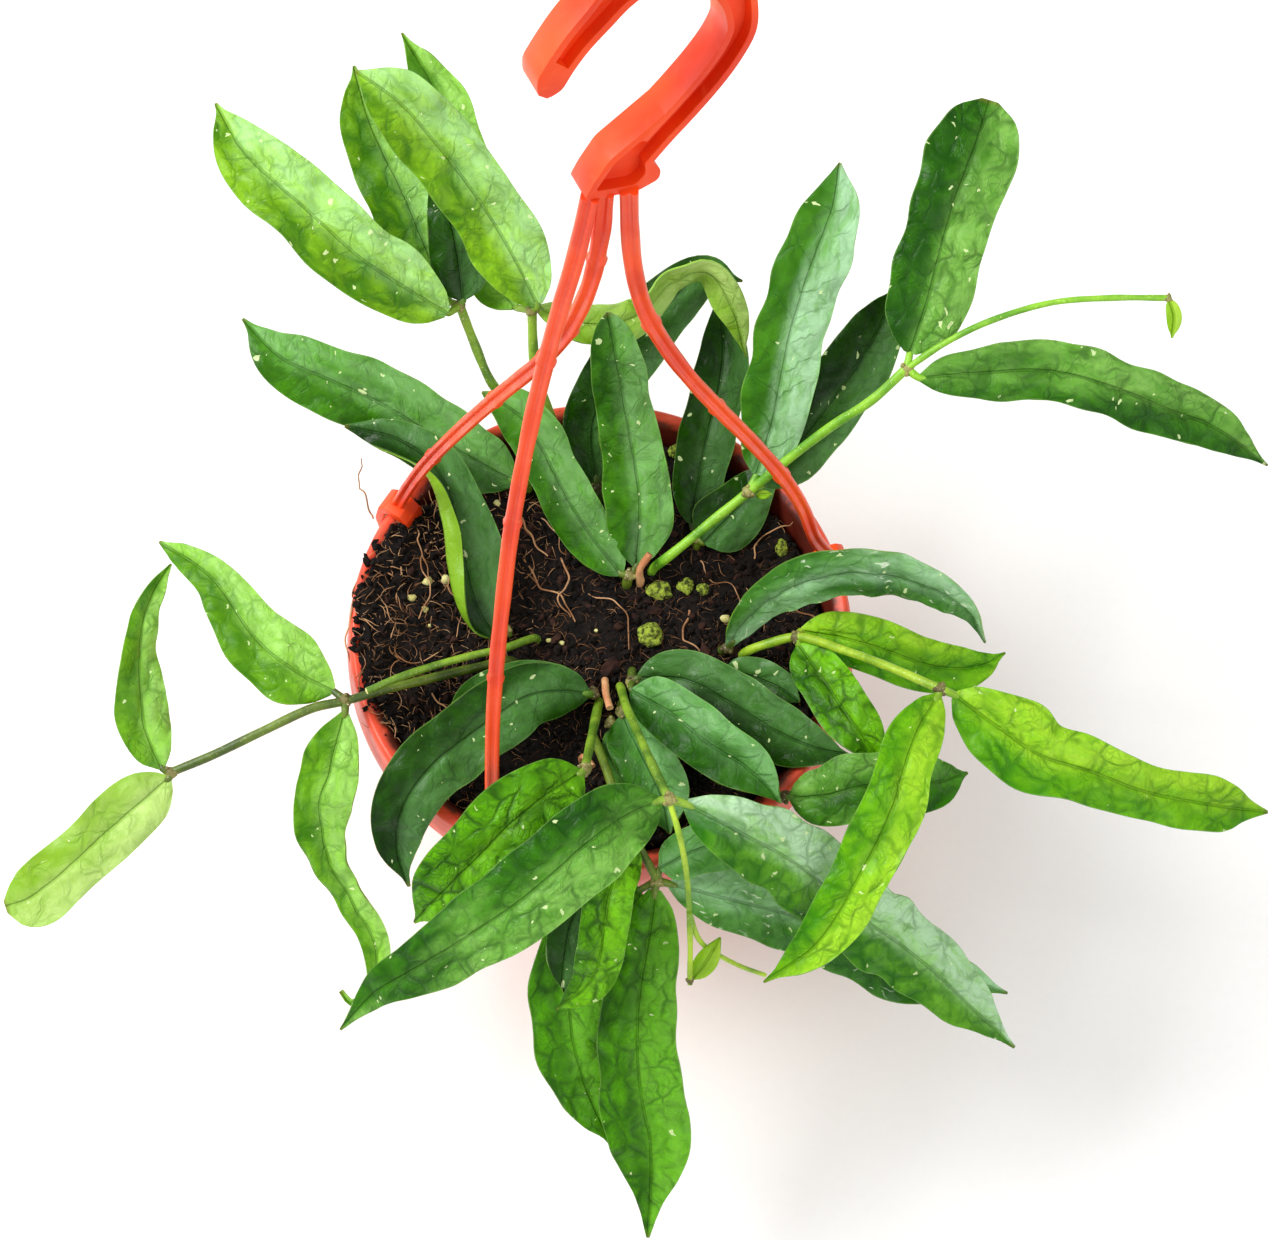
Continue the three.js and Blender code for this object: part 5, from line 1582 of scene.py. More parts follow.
                19, Shape.TAILED, Tone.BRIGHT, roll=(0, 20, 30, 20, 0)),
        )),
        Node((171, 773, 113), (
            Blade([(162, 768, 114), (147, 735, 118), (140, 690, 124), (141, 640, 130), (150, 600, 134),
                (171, 564, 136)], 16.5, Shape.NARROWING, Tone.BRIGHT, roll=(0, 20, 20, 10)),
            Blade([(169, 778, 113), (130, 812, 112), (93, 845, 110), (58, 877, 107), (28, 899, 103),
                (6, 907, 101)], 19, Shape.BLUNT, Tone.YOUNG),
        )),
    ), Bark.DARK),
    Sprig("leaf_left", (
        Stem(1.6, [(527, 489, FOOT), (522, 486, 109.5)]),
    ), (
        Node((522, 486, 110), (
            Blade([(515, 482, 111.5), (480, 463, 117), (430, 433, 122), (380, 403, 126),
                (330, 380, 130), (280, 357, 133), (243, 319, 135)], 24, Shape.OBLONG, Tone.MATURE),
        )),
    )),
    Sprig("leaf_left_twisted", (
        Stem(1.6, [(507, 634, FOOT), (505, 630, 110)]),
    ), (
        Node((505, 630, 110), (
            Blade([(494, 636, 111), (475, 604, 116), (464, 560, 121), (455, 515, 126), (436, 468, 130),
                (400, 440, 132), (345, 426, 131)],
                27, Shape.NARROWING, Tone.DARK, roll=(10, 10, 10, 10, 0), curl=(150, -14)),
        )),
    )),
)


# ---- Pot and soil ----
@dataclass
class Pot:
    """A round plastic pot with a banded rim, thin walls and drain holes."""

    height: float = 115.0
    foot_radius: float = 52.0
    crest_radius: float = 77.0
    rim_radius: float = 80.0
    mouth_radius: float = 73.0
    skirt: float = 14.8
    wall: float = 1.6
    floor: float = 2.6
    drain_holes: int = 6
    drain_radius: float = 3.5
    drain_circle: float = 36.0
    segments: int = 180

    @property
    def neck(self) -> float:
        """Outside radius of the wall where it meets the rim."""
        return self.mouth_radius - 1.5

    def outline(self) -> list[tuple[float, float]]:
        """Lays out the wall's section.

        Returns:
            Its closed outline from the foot round the rim and back, in millimetres.
        """
        low = self.height - self.skirt
        foot, rim, crest = self.foot_radius, self.rim_radius, self.crest_radius
        return [
            (foot - 4, 0), (foot - 0.8, 1), (foot, 4), (foot + 3.4, 21), (foot + 3.0, 22.5),
            (self.neck, low), (self.neck + 1, low + 4), (rim - self.wall, low + 3.4),
            (rim - self.wall, low), (rim, low), (rim - 0.15, low + 2.2), (rim - 0.4, self.height - 8.5),
            (crest + 1.3, self.height - 1.2), (crest, self.height), (crest - 1.3, self.height - 0.4),
            (self.mouth_radius, self.height - 2.2), (self.neck - self.wall + 1, low + 6),
            (self.neck - self.wall, low), (foot - self.wall, self.floor + 3), (foot - 5, self.floor),
        ]

    def build(self, bench: "Bench") -> None:
        """Makes the pot.

        Args:
            bench: Holds the materials.
        """
        inner = rounded(self.outline(), 1.1, 3)
        outline = [(0.0, 0.0), *inner, (0.0, self.floor)]
        rings = np.array(outline) * MM
        angles = np.linspace(0, math.tau, self.segments, endpoint=False)
        points = [(r * math.cos(a), r * math.sin(a), z) for r, z in rings for a in angles]
        shell = Shell()
        shell.add(np.array(points), grid_faces(len(rings), self.segments, closed=True))
        piece = shell.piece("pot_shell", [bench.finish(Plastic.POT)], 40)
        weld = bmesh.new()
        weld.from_mesh(piece.data)
        bmesh.ops.remove_doubles(weld, verts=weld.verts, dist=0.001 * MM)
        bmesh.ops.recalc_face_normals(weld, faces=weld.faces)
        weld.to_mesh(piece.data)
        weld.free()
        holes = Shell()
        bore = self.drain_radius * MM
        turns = np.linspace(0, math.tau, 28, endpoint=False)
        ring = [(bore * math.cos(a), bore * math.sin(a)) for a in turns]
        for k in range(self.drain_holes):
            drill, faces = prism(ring, -self.floor * MM, 3 * self.floor * MM)
            turn = math.tau * k / self.drain_holes
            shift = np.array([math.cos(turn), math.sin(turn), 0]) * self.drain_circle * MM
            holes.add(drill + shift, faces)
        carve(piece, holes.piece("drills", []), "DIFFERENCE")
        finished(piece, "pot_plastic", "pot")


@dataclass
class Soil:
    """Peat heaped to the left of the pot, with crumbs, fibres, bark and roots."""

    pot: Pot
    level: float = 105.0
    mound: float = 6.0
    bank: float = 3.5
    rings: int = 96
    spokes: int = 320

    SHOULDER = 99.0
    LIP = 1.4
    SPILL_RINGS = 6  # the outermost rings, which run over the rim where soil is spilt
    SPILL_MIDDLE = 178.0  # degrees round the axis

    def height(self, x: float, y: float) -> float:
        """Works out how high the smooth soil is, all in millimetres.

        Args:
            x: The place, along the first axis.
            y: And along the second.

        Returns:
            The height.
        """
        heap = self.mound * float(smooth(15, 68, -x))
        rise = self.bank * float(smooth(58, 70, math.hypot(x, y)))
        uneven = 0.9 * math.sin(x / 11) * math.cos(y / 9) + 0.6 * math.cos(x / 6 + y / 7)
        return self.level + max(heap, rise) + uneven

    def ground(self, px: float, py: float) -> np.ndarray:
        """Finds where the ray through a picture point meets the soil.

        Args:
            px: The point's column in the picture.
            py: Its row.

        Returns:
            The place in metres.
        """
        point = EYE.at(px, py, self.level)
        for _ in range(4):  # Each round comes nearer; four are enough
            point = EYE.at(px, py, self.height(point[0] / MM, point[1] / MM))
        return point

    @property
    def radius(self) -> float:
        """The soil's radius at its surface, in millimetres."""
        return self.pot.neck - self.pot.wall - 0.35

    def surface(self, x: float, y: float) -> float:
        """Works out how high the crumbly soil is, all in millimetres.

        Args:
            x: The place, along the first axis.
            y: And along the second.

        Returns:
            The height.
        """
        spot = Vector((x, y, 0))
        clods = 1.5 * noise.fractal(spot * 0.11, 0.9, 2.1, 5)
        lumps = 0.8 * max(0, noise.noise(spot * 0.33)) + 0.55 * noise.noise(spot * 0.9)
        spill = 4.5 * float(smooth(60, 74, math.hypot(x, y))) * self.spill(x, y)
        return self.height(x, y) + clods + lumps + spill

    def spill(self, x: float, y: float) -> float:
        """Returns how much soil is heaped on the rim in a direction, from 0 to 1."""
        turn = abs(math.degrees(math.atan2(y, x)) % 360 - self.SPILL_MIDDLE)
        return float(smooth(42, 12, turn))

    def build(self, bench: "Bench") -> Piece:
        """Makes the body of soil.

        Args:
            bench: Holds the materials.

        Returns:
            The piece.
        """
        angles = np.linspace(0, math.tau, self.spokes, endpoint=False)
        foot = self.pot.foot_radius - 6
        floor = self.pot.floor
        low = ((foot, floor + 0.4), (foot + 4, floor + 5), (self.radius, self.SHOULDER))
        points = [(r * math.cos(a), r * math.sin(a), height) for r, height in low for a in angles]
        for ring in range(self.rings, 0, -1):
            beyond = 1 - (self.rings - ring) / self.SPILL_RINGS
            for a in angles:
                x, y = math.cos(a), math.sin(a)
                reach = self.radius * ring / self.rings
                if beyond > 0:
                    over = 6.6 + 2.0 * noise.noise(Vector((a * 6, 1, 0)))
                    reach += self.spill(x, y) * over * beyond
                x, y = reach * x, reach * y
                points.append((x, y, self.surface(x, y) - (self.LIP if ring == self.rings else 0)))
        shell = Shell()
        shell.add(np.array(points) * MM, tube_faces(self.rings + len(low), self.spokes))
        piece = shell.piece("soil_body", [bench.finish(Earth.PEAT)])
        return finished(piece, "soil", "soil")

    def patch(self, name: str, inner: float, outer: float, start: float, end: float) -> bpy.types.Mesh:
        """Makes a bare patch of the soil's surface to strew things on.

        Args:
            name: The patch's name.
            inner: Its inner radius in millimetres.
            outer: Its outer radius.
            start: Where it starts, in degrees round the axis.
            end: Where it ends.

        Returns:
            The patch as a mesh.
        """
        rows, columns, clear = 12, 60, 0.3 * MM
        points = []
        for r in np.linspace(inner, outer, rows):
            for a in np.radians(np.linspace(start, end, columns)):
                x, y = r * math.cos(a), r * math.sin(a)
                points.append((x * MM, y * MM, self.surface(x, y) * MM + clear))
        mesh = bpy.data.meshes.new(name)
        mesh.from_pydata(points, [], grid_faces(rows, columns).tolist())
        return mesh


@dataclass
class Litter:
    """What lies in the soil: crumbs, chips of bark, fibres, pale grains and curly roots."""

    soil: Soil

    CHIPS = ((612, 668, 7.0), (705, 655, 6.0), (733, 652, 6.5), (556, 640, 4.5), (470, 600, 4.0),
             (655, 612, 4.5))
    PALE_GRAINS = ((379, 540), (428, 583), (402, 586), (412, 599), (425, 611), (430, 627), (446, 581),
                   (549, 642), (562, 644), (725, 620), (596, 632), (497, 505))
    ROOTS = (
        ((375, 521), (366, 500), (360, 480), (363, 458)),
        ((371, 560), (359, 590), (362, 622), (380, 645)),
        ((398, 556), (384, 580), (370, 606), (372, 640)),
        ((361, 590), (352, 612), (347, 640), (352, 668)),
        ((410, 520), (398, 548), (404, 576), (396, 604)),
        ((436, 540), (420, 566), (431, 590), (418, 622)),
        ((455, 560), (449, 590), (462, 612), (455, 640)),
        ((386, 640), (398, 660), (420, 664), (441, 650)),
        ((525, 560), (540, 588), (560, 600), (574, 622)),
        ((560, 560), (568, 580), (560, 604), (571, 618)),
        ((590, 596), (612, 604), (630, 622), (628, 650)),
        ((700, 560), (712, 582), (735, 590), (741, 612)),
        ((752, 560), (760, 540), (781, 532), (800, 520)),
        ((770, 590), (790, 596), (800, 615), (818, 620)),
        ((396, 516), (408, 534), (424, 536), (440, 524)),
        ((470, 520), (480, 540), (500, 548), (512, 566)),
        ((540, 520), (556, 534), (560, 552), (578, 560)),
        ((430, 690), (446, 712), (470, 718), (486, 736)),
        ((690, 612), (682, 632), (690, 650), (704, 655)),
        ((352, 600), (362, 576), (378, 566), (392, 552)),
        ((417, 524), (419, 546), (426, 564), (433, 582)),
        ((389, 530), (394, 545), (406, 548), (418, 538)),
        ((374, 569), (382, 575), (393, 580), (404, 585)),
        ((516, 515), (525, 530), (539, 548), (548, 556)),
    )

    def build(self, tubes: Tubes, strew: Scatter, bench: "Bench") -> None:
        """Makes everything that lies in the soil.

        Args:
            tubes: The tree that sweeps roots.
            strew: The tree that strews bits.
            bench: Holds the materials.
        """
        crumb = self._bit("crumb", lump(np.zeros(3), (1.2 * MM, 0.75 * MM, 0.55 * MM), 3, 2, 0.9))
        fibre = self._fibre()
        whole = (0.0, self.soil.radius - 0.5, 0.0, 360.0)
        rim = (68.0, 77.0, 146.0, 212.0)
        left = (26.0, 76.0, 118.0, 238.0)
        plans = (
            ("soil_crumbs", crumb, whole, 120000.0, 0.4, 1.7, 1.2, Earth.PEAT),
            ("soil_bark_crumbs", crumb, whole, 22000.0, 0.7, 1.9, 1.2, Earth.BARK),
            ("soil_fibres", fibre, whole, 110000.0, 0.4, 1.2, 0.4, Earth.FIBRE),
            ("soil_pale_fibres", fibre, whole, 31000.0, 0.4, 1.1, 0.5, Earth.ROOT),
            ("soil_left_fibres", fibre, left, 60000.0, 0.6, 1.6, 0.8, Earth.ROOT),
            ("soil_rim_crumbs", crumb, rim, 160000.0, 0.5, 1.9, 1.2, Earth.PEAT),
            ("soil_rim_fibres", fibre, rim, 90000.0, 0.5, 1.4, 0.6, Earth.ROOT),
        )
        for seed, (name, bit, area, density, low, high, tilt, finish) in enumerate(plans, 11):
            patch = self.soil.patch(name, *area)
            sizes = {"Smallest": low, "Largest": high, "Tilt": tilt}
            values = {"Bit": bit, "Density": density, "Seed": seed, "Finish": bench.finish(finish)}
            finished(strew.run(name, patch, **sizes, **values), "soil")
        for bit in (crumb, fibre):
            bpy.data.objects.remove(bit)
        self._roots(tubes, bench)
        self._grains(bench)

    @staticmethod
    def _bit(name: str, body: tuple) -> Piece:
        """Makes a bit that is strewn.

        Args:
            name: Its name.
            body: Its points and faces.

        Returns:
            The bit.
        """
        shell = Shell()
        shell.add(*body)
        return shell.piece(name, [])

    @staticmethod
    def _fibre() -> Piece:
        """Makes a curved fibre about seven millimetres long.

        Returns:
            The fibre.
        """
        rows, sides, radius = 7, 4, 0.13 * MM
        t = np.linspace(-1, 1, rows)
        line = np.stack([3.4 * t, 1.3 * np.cos(2.2 * t), 0.5 * np.sin(3 * t)], axis=1) * MM
        angles = np.linspace(0, math.tau, sides, endpoint=False)
        thick = radius * (1 - 0.6 * t**2)
        ring = np.stack([0 * angles, np.cos(angles), np.sin(angles)], axis=1)
        points = (line[:, None, :] + ring[None, :, :] * thick[:, None, None]).reshape(-1, 3)
        shell = Shell()
        shell.add(points, tube_faces(rows, sides))
        return shell.piece("fibre", [])

    def _roots(self, tubes: Tubes, bench: "Bench") -> None:
        """Makes the curly roots that lie on the soil.

        Args:
            tubes: The tree that sweeps them.
            bench: Holds the materials.
        """
        lines = []
        for seed, route in enumerate(self.ROOTS):
            points = []
            for k, (px, py) in enumerate(route):
                inner = k not in (0, len(route) - 1)
                lift = 2.4 + 1.2 * math.sin(seed * 1.9 + k * 2.1) if inner else 1.0
                points.append(self.soil.ground(px, py) + np.array([0, 0, lift * MM]))
            path = Path(points)
            shares = np.linspace(0, 1, 40)
            length = shares * path.length / MM
            shift = np.stack([cloud(length, 0 * length + k, 9, seed * 3 + k) for k in range(3)], axis=1)
            radius = (0.3 + 0.08 * math.sin(seed * 5)) * MM * (1 - 0.35 * shares)
            lines.append((path.at(shares) + shift * np.array([0.55, 0.55, 0.35]) * MM, radius))
        finished(tubes.along("soil_roots", lines, 6, bench.finish(Earth.ROOT)), "soil")

    def _grains(self, bench: "Bench") -> None:
        """Makes the small pale grains and the chips of bark.

        Args:
            bench: Holds the materials.
        """
        grains = Shell()
        for seed, (px, py) in enumerate(self.PALE_GRAINS):
            size = (1.0 + 0.5 * math.sin(seed * 2.3)) * MM
            centre = self.soil.ground(px, py) + np.array([0, 0, 1.2 * MM])
            grains.add(*lump(centre, (size * 1.2, size, size * 0.7), seed + 40, 2, 0.5))
        finished(grains.piece("soil_pale_grains", [bench.finish(Earth.PALE)]), "soil")
        chips = Shell()
        for seed, (px, py, reach) in enumerate(self.CHIPS):
            centre = self.soil.ground(px, py) + np.array([0, 0, 1.4 * MM])
            halves = [reach * share * MM for share in (0.5, 0.3, 0.2)]
            points, faces = lump(np.zeros(3), halves, seed, 3, 0.6)
            turn = Matrix.Rotation(seed * 1.1 + 0.7, 3, "Z") @ Matrix.Rotation(0.5, 3, "X")
            chips.add(points @ np.array(turn).T + centre, faces)
        finished(chips.piece("soil_bark_chips", [bench.finish(Earth.BARK)], 30), "soil")


@dataclass
class Debris:
    """The cut stem, the dry stubs and the grains of pumice that stand in the soil."""

    soil: Soil

    CUT_STEM = Stem(1.3, [(536, 641, FOOT), (505, 648, 115), (470, 656, 120), (430, 667, 122.5),
                          (395, 679, 124.5), (367, 691, 125)])
    STUBS = {
        "dry_stub_centre": Stem(1.3, [(640, 584, FOOT), (640, 569, 113.5), (650, 554, 117)]),
        "dry_stub_front": Stem(1.3, [(605, 683, FOOT), (606, 694, 113), (610, 708, 115)]),
        "dry_stub_low": Stem(1.3, [(582, 760, FOOT), (585, 757, 111), (592, 767, 112)]),
    }
    GRAINS = {
        "pumice_1": ((659, 591), (4.0, 3.0, 2.4)),
        "pumice_2": ((685, 587), (2.6, 2.8, 2.2)),
        "pumice_3": ((703, 590), (2.2, 2.0, 1.8)),
        "pumice_4": ((651, 636), (4.0, 3.8, 2.8)),
        "pumice_5": ((675, 452), (2.3, 2.2, 1.9)),
        "pumice_6": ((782, 548), (1.9, 2.8, 1.9)),
    }

    def build(self, tubes: Tubes, bench: "Bench") -> None:
        """Makes them all.

        Args:
            tubes: The tree that sweeps stems.
            bench: Holds the materials.
        """
        line = self.CUT_STEM.line(self.soil)
        cut = tubes.along("cut_stem_bark", [line], 14, bench.finish(Bark.GREEN))
        finished(cut, "stem", "cut_stem")
        tip = Shell()
        end = EYE.at(367, 691, 125)
        away = unit(end - EYE.at(395, 679, 124.5))
        points, faces = lump(np.zeros(3), (1.05 * MM, 1.05 * MM, 0.35 * MM), 5, 3, 0.15)
        turn = Vector((0, 0, 1)).rotation_difference(Vector(away)).to_matrix()
        tip.add(points @ np.array(turn).T + end + away * 0.05 * MM, faces)
        finished(tip.piece("cut_stem_face", [bench.finish(Earth.PALE)]), "stem", "cut_stem")
        for name, stub in self.STUBS.items():
            line, radii = stub.line(self.soil)
            frayed = radii * (1 + 0.12 * cloud(np.arange(len(radii)) * 1.0, radii * 0, 3, len(name)))
            piece = tubes.along(name + "_fibre", [(line, frayed)], 9, bench.finish(Bark.DRY))
            finished(piece, "dry_stem", name)
        for seed, (name, (place, size)) in enumerate(self.GRAINS.items(), 60):
            centre = self.soil.ground(*place) + np.array([0, 0, 0.25 * size[2] * MM])
            shell = Shell()
            shell.add(*lump(centre, [half * 1.02 * MM for half in size], seed, 5, 0.24))
            finished(shell.piece(name + "_stone", [bench.finish(Earth.PUMICE)]), "pumice", name)


# ---- Hanger ----
@dataclass
class Hanger:
    """The hook with its hollow front, and three straps that clip over the rim."""

    pot: Pot
    foot_height: float = 365.0
    lean: float = 20.0
    turn: float = 25.0
    width: float = 6.4
    depth: float = 9.5
    flange: float = 1.5
    pocket: float = 3.6
    strap_width: float = 4.4
    strap_thickness: float = 3.0
    clip_width: float = 8.0
    pip_reach: float = 9.0
    pip_length: float = 0.8

    LINE = ((6.5, 7, 1), (12.5, 12, 1), (19, 17, 1), (25.5, 22.5, 1), (30, 27.3, 1), (32.6, 31.6, 1.05),
            (33, 36, 1.12), (32.3, 40.4, 1.22), (30, 44.8, 1.32), (26.4, 48.4, 1.38), (21.8, 50.9, 1.4),
            (16.8, 52, 1.38), (11.8, 51.2, 1.32), (7.2, 48.8, 1.22), (2.8, 45.3, 1.12),
            (-2.6, 41, 1.04), (-6.6, 37, 1), (-9.3, 33.8, 1), (-11.6, 31, 1))
    BLOCK = ((-6.4, 1.6), (5.7, -0.4), (10.9, 0.9), (11.6, 3.4), (9.6, 6.2), (13.5, 9.6), (15.4, 13),
             (14.8, 17.6), (0.6, 10), (-3.8, 5.2))
    HOLLOW = ((-3.6, 3.1), (5.4, 1.5), (8, 3.4), (8.2, 6.8), (11.6, 9.8), (8.2, 12.4), (1.6, 8.8),
              (-2.2, 4.6))
    ROUTES = {
        "right": [(629, 190, 366), (630, 230, 350), (634, 270, 332), (645, 310, 311), (665, 345, 291),
                  (690, 378, 270), (720, 410, 247), (752, 442, 221), (783, 477, 192), (803, 508, 165),
                  (816, 540, 137), (822.5, 556.5, 121)],
        "left": [(605, 192, 366), (600, 240, 345), (588, 290, 319), (565, 335, 291), (540, 362, 269),
                 (500, 395, 237), (460, 430, 199), (428, 462, 163), (410, 485, 137), (402, 503, 121)],
        "front": [(590, 197, 366), (575, 260, 344), (560, 310, 326), (545, 365, 304), (532, 420, 282),
                  (520, 480, 259), (510, 540, 236), (503, 600, 214), (497, 660, 192), (493, 720, 169),
                  (492, 780, 145), (493, 832, 121)],
    }
    SECTION = ((-1, -0.5), (-0.5, -1), (0.5, -1), (1, -0.5), (0.86, 0.9), (0.4, 1), (0.14, 0.55),
               (-0.14, 0.55), (-0.4, 1), (-0.86, 0.9))
    PIPS = ((435, 459), (499, 405), (519, 523), (498, 679), (592, 257), (566, 327), (550, 362),
            (649, 324), (717, 408), (781, 476))

    def _band(self, margin: float, short: int) -> list[tuple[float, float]]:
        """Outlines the band along the hook's line.

        Args:
            margin: Millimetres taken off each side.
            short: How many points of the line are left out at the tip.

        Returns:
            The outline in millimetres.
        """
        path = Path([np.array(place) * MM for place in self.LINE[: len(self.LINE) - short]])
        shares = np.linspace(0, 1, 110)
        middle, ahead = path.at(shares) / MM, path.forward(shares)
        beside = np.stack([-ahead[:, 1], ahead[:, 0]], axis=1)
        half = self.width / 2 * middle[:, 2] - margin
        if not short:
            half = half * np.sqrt(np.clip((1.004 - shares) / 0.035, 0.1, 1))
        left = middle[:, :2] + beside * half[:, None]
        right = middle[:, :2] - beside * half[:, None]
        return [(float(u), float(v)) for u, v in np.concatenate([right, left[::-1]])]

    def build_hook(self, bench: "Bench") -> None:
        """Makes the hook.

        Args:
            bench: Holds the materials.
        """
        place = (
            Matrix.Translation((0, 0, self.foot_height * MM))
            @ Matrix.Rotation(math.radians(self.turn), 4, "Z")
            @ Matrix.Rotation(math.radians(90 - self.lean), 4, "X")
            @ Matrix.Translation((0, 0, -self.depth * MM))
        )

        def slab(name: str, outline: Pairs, low: float, high: float) -> Piece:
            """Makes a slab of an outline in the hook's plane.

            Args:
                name: The slab's name.
                outline: Its outline in millimetres.
                low: Where it starts across the plane, in millimetres.
                high: Where it ends.

            Returns:
                The slab.
            """
            points, faces = prism(outline, low, high)
            shell = Shell()
            shell.add(placed(points * MM, place), faces)
            return shell.piece(name, [bench.finish(Plastic.HANGER)])

        low = self.depth - self.pocket
        piece = slab("hook_body", self._band(0, 0), 0, self.depth)
        carve(piece, slab("block", rounded(self.BLOCK, 1.2), 0.02, self.depth - 0.02), "UNION")
        hollow = slab("channel", self._band(self.flange, 2), low, self.depth + 1)
        carve(hollow, slab("hollow", rounded(self.HOLLOW, 1.0), low + 0.02, self.depth + 0.9), "UNION")
        carve(piece, hollow, "DIFFERENCE")
        finished(softened(piece, 0.35 * MM, 40), "hanger_plastic", "hanger_hook")

    def _clip(self) -> list[tuple[float, float]]:
        """Outlines a clip over the rim, in the plane through the pot's axis.

        Returns:
            The outline in millimetres.
        """
        pot = self.pot
        mouth, crest, rim = pot.mouth_radius, pot.crest_radius, pot.rim_radius
        top, low = pot.height, pot.height - pot.skirt
        return [
            (mouth - 4, top - 8), (mouth - 2.7, top - 8), (mouth - 0.9, top - 1.6),
            (crest - 1.6, top + 0.3), (crest + 0.3, top + 0.5), (crest + 1.9, top - 0.8),
            (rim + 0.2, top - 8.5), (rim + 0.4, low - 0.4), (rim - 1.8, low - 0.4),
            (rim - 1.8, low - 2), (rim + 2, low - 2), (rim + 3, top - 8),
            (crest + 4, top + 1.6), (crest + 1.5, top + 4),
            (mouth, top + 4), (mouth - 3, top + 1),
        ]

    def _section(self) -> np.ndarray:
        """Outlines a strap's section: flat, with a groove along the middle of its outer face.

        Returns:
            The outline in metres.
        """
        half = np.array([self.strap_width, self.strap_thickness]) / 2
        corners = [tuple(np.array(corner) * half) for corner in self.SECTION]
        return np.array(rounded(corners, 0.5, 2)) * MM

    def build_straps(self, bench: "Bench") -> None:
        """Makes the straps with their clips.

        Args:
            bench: Holds the materials.
        """
        section, plastic = self._section(), bench.finish(Plastic.HANGER)
        saddle, sides = prism(rounded(self._clip(), 0.7, 3), -self.clip_width / 2, self.clip_width / 2)
        for side, route in self.ROUTES.items():
            points = [EYE.at(*place) for place in route]
            foot = points[-1]
            turn = math.atan2(foot[1], foot[0])
            reach, top = (self.pot.crest_radius - 1) * MM, (self.pot.height + 2.6) * MM
            points[-1] = np.array([reach * math.cos(turn), reach * math.sin(turn), top])
            path = Path(points)
            shares = np.linspace(0, 1, round(path.length / (1.2 * MM)))
            middle, ahead = path.at(shares), path.forward(shares)
            across = unit(np.cross(ahead, EYE.place - middle))
            outer = np.cross(across, ahead)
            swell = 1 + 0.03 * cloud(shares * path.length / MM, shares, 24, len(side))
            column, row = self._seen(middle)
            for pip in self.PIPS:
                near = np.hypot(column - pip[0], row - pip[1])
                if near.min() < self.pip_reach:
                    away = (shares - shares[near.argmin()]) * path.length / (self.pip_length * MM)
                    swell += 0.2 * np.exp(-(away**2))
            wide, thick = swell[:, None] * section[None, :, 0], swell[:, None] * section[None, :, 1]
            body = middle[:, None, :] + across[:, None, :] * wide[..., None]
            body = body + outer[:, None, :] * thick[..., None]
            name = f"hanger_strap_{side}"
            strap, clip = Shell(), Shell()
            strap.add(body.reshape(-1, 3), tube_faces(len(shares), len(section)))
            piece = strap.piece(name + "_band", [plastic], 50)
            place = Matrix.Rotation(turn, 4, "Z") @ Matrix.Rotation(math.pi / 2, 4, "X")
            clip.add(placed(saddle * MM, place), sides)
            catch = softened(clip.piece(name + "_clip", [plastic]), 0.5 * MM, 50)
            finished(piece, "hanger_plastic", name)
            finished(catch, "hanger_plastic", name)

    @staticmethod
    def _seen(points: np.ndarray) -> tuple[np.ndarray, np.ndarray]:
        """Finds where points are seen in the picture.

        Args:
            points: The points in metres.

        Returns:
            Their columns and rows.
        """
        ray = points - EYE.place
        far = ray @ -EYE.toward
        column = EYE.width / 2 + EYE.focal_pixels * (ray @ EYE.right) / far
        return column, EYE.height / 2 - EYE.focal_pixels * (ray @ EYE.up) / far


class Plastic(Enum):
    """The plastics."""

    HANGER = PlasticFinish("hanger", rgb(249, 78, 19), rgb(228, 55, 13), rgb(255, 136, 78), 0.12,
                           worn=0.2)
    POT = PlasticFinish("pot", rgb(245, 87, 57), rgb(226, 72, 44), rgb(246, 130, 106), 0.5, worn=0.4,
                        stained_and_shaded_inside=True)


class Earth(Enum):
    """The dry finishes."""

    PEAT = EarthFinish("peat", rgb(23, 16, 12), rgb(6, 4, 3), rgb(62, 44, 32), 900, 0.3)
    BARK = EarthFinish("bark", rgb(56, 33, 25), rgb(22, 12, 10), rgb(98, 60, 42), 600, 0.3)
    FIBRE = EarthFinish("fibre", rgb(118, 82, 54), rgb(52, 33, 22), rgb(172, 130, 92), 500, 0.45)
    ROOT = EarthFinish("root", rgb(198, 152, 110), rgb(138, 94, 60), rgb(236, 206, 168), 300, 0.5,
                       0.1 * MM)
    PALE = EarthFinish("pale", rgb(226, 220, 150), rgb(184, 176, 104), rgb(244, 240, 200), 800, 0.5)
    PUMICE = EarthFinish("pumice", rgb(176, 198, 68), rgb(62, 72, 24), rgb(222, 228, 140), 2600, 0.5,
                         1.0 * MM)


class Bench:
    """Keeps one material for each finish."""

    def __init__(self) -> None:
        """Starts with no materials."""
        self.made: dict[Enum, Material] = {}

    def finish(self, choice: Enum) -> Material:
        """Returns the material of a finish, made the first time it is asked for."""
        if choice not in self.made:
            self.made[choice] = choice.value.material()
        return self.made[choice]


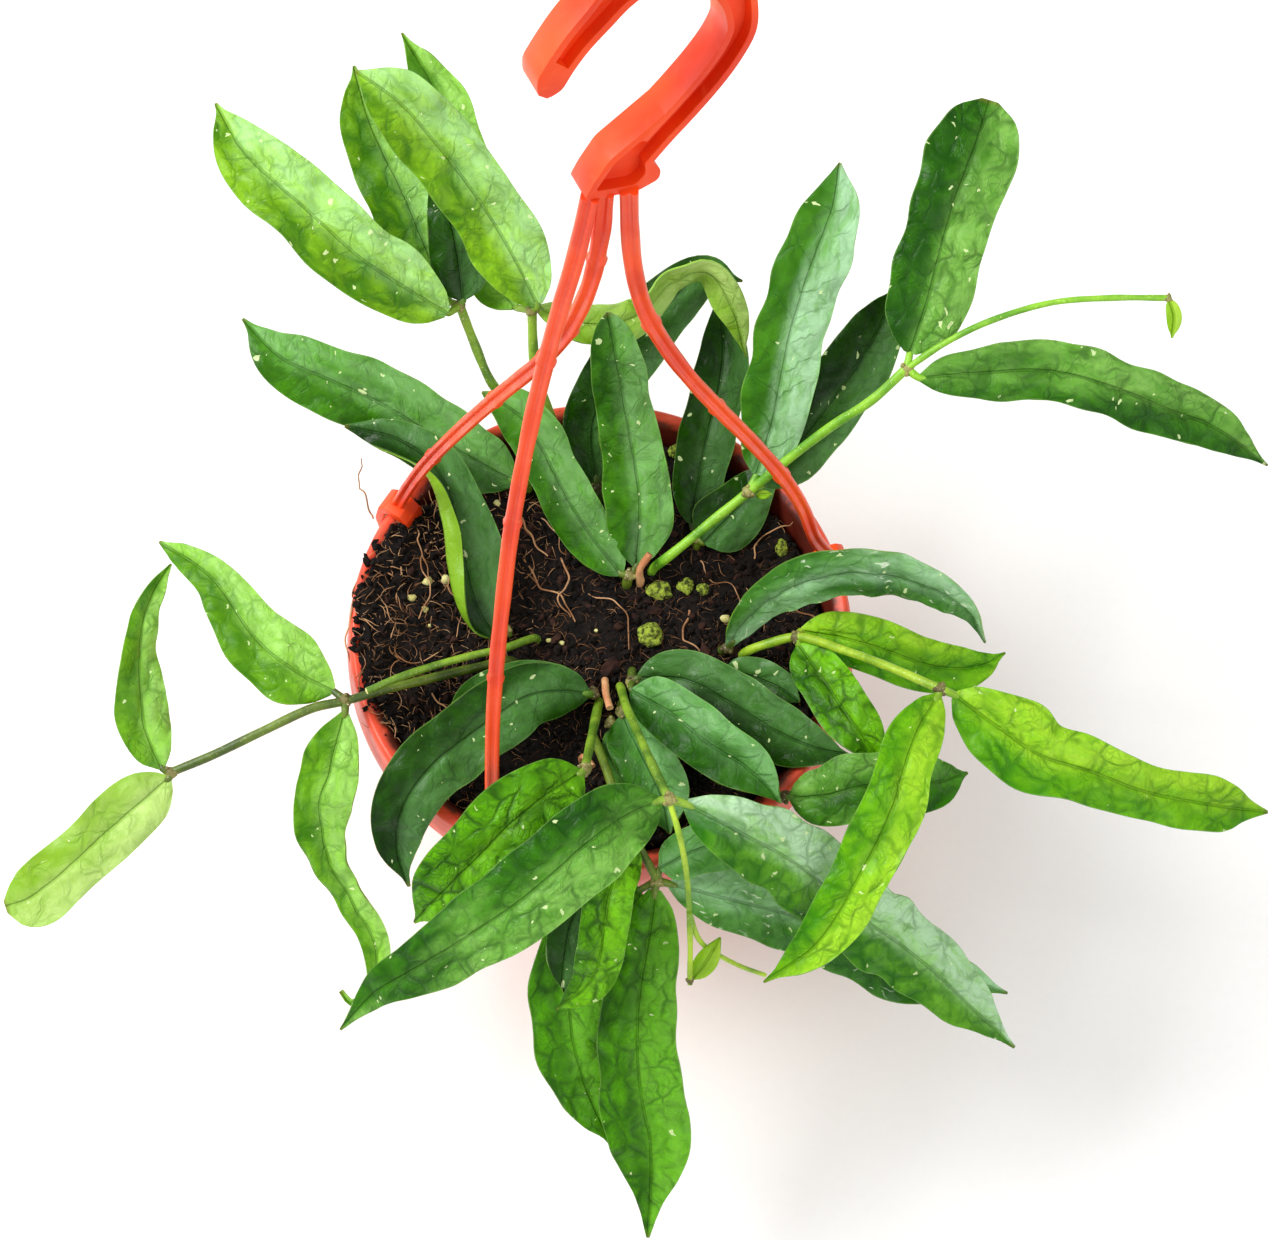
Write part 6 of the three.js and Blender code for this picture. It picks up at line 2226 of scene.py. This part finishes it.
# ---- The whole ----
@dataclass
class Studio:
    """A pale floor and plain soft light."""

    floor_side: float = 8.0
    sky: float = 0.6

    AIM = (0, 0, 0.12)
    LAMPS = (("window", (-0.95, 0.2, 1.15), 0.7, 21.0), ("fill", (0.8, -0.9, 1.3), 1.2, 9.0))

    def build(self) -> None:
        """Makes the floor, the sky, the lamps and the camera."""
        half = self.floor_side / 2
        shell = Shell()
        corners = [(-half, -half, 0), (half, -half, 0), (half, half, 0), (-half, half, 0)]
        shell.add(np.array(corners), [[0, 1, 2, 3]])
        paper = Graph("floor_paper")
        grain = paper.noise(paper.place(), 300, 3)
        colour = paper.mix(grain, rgb(247, 247, 246), rgb(252, 252, 251))
        shell.piece("floor", [paper.done(Base_Color=colour, Roughness=0.9)])
        world = bpy.data.worlds.new("sky")
        world.use_nodes = True
        background = world.node_tree.nodes["Background"]
        background.inputs["Color"].default_value = (1.0, 1.0, 1.0, 1.0)
        background.inputs["Strength"].default_value = self.sky
        bpy.context.scene.world = world
        for lamp in self.LAMPS:
            self._lamp(*lamp)
        bpy.context.scene.camera = EYE.camera()
        bpy.context.scene.view_settings.view_transform = "Standard"

    def _lamp(self, name: str, place: Place, side: float, power: float) -> None:
        """Makes a square lamp that faces the plant.

        Args:
            name: The lamp's name.
            place: Where it is, in metres.
            side: Its side in metres.
            power: Its power in watts.
        """
        data = bpy.data.lights.new(name, "AREA")
        data.shape, data.size, data.energy = "SQUARE", side, power
        lamp = link(bpy.data.objects.new(name, data))
        facing = (Vector(self.AIM) - Vector(place)).to_track_quat("-Z", "Y")
        lamp.matrix_world = Matrix.Translation(place) @ facing.to_matrix().to_4x4()


def main() -> None:
    """Builds the whole plant round the frame."""
    logging.basicConfig(level=logging.INFO, format="%(message)s")
    bench, tubes, strew = Bench(), Tubes(), Scatter()
    pot = Pot()
    soil = Soil(pot)
    Studio().build()
    pot.build(bench)
    soil.build(bench)
    Litter(soil).build(tubes, strew, bench)
    Debris(soil).build(tubes, bench)
    hanger = Hanger(pot)
    hanger.build_hook(bench)
    hanger.build_straps(bench)
    number = 1
    for sprig in SPRIGS:
        number = sprig.build(soil, tubes, bench, number)
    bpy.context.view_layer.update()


if __name__ == "__main__":
    main()
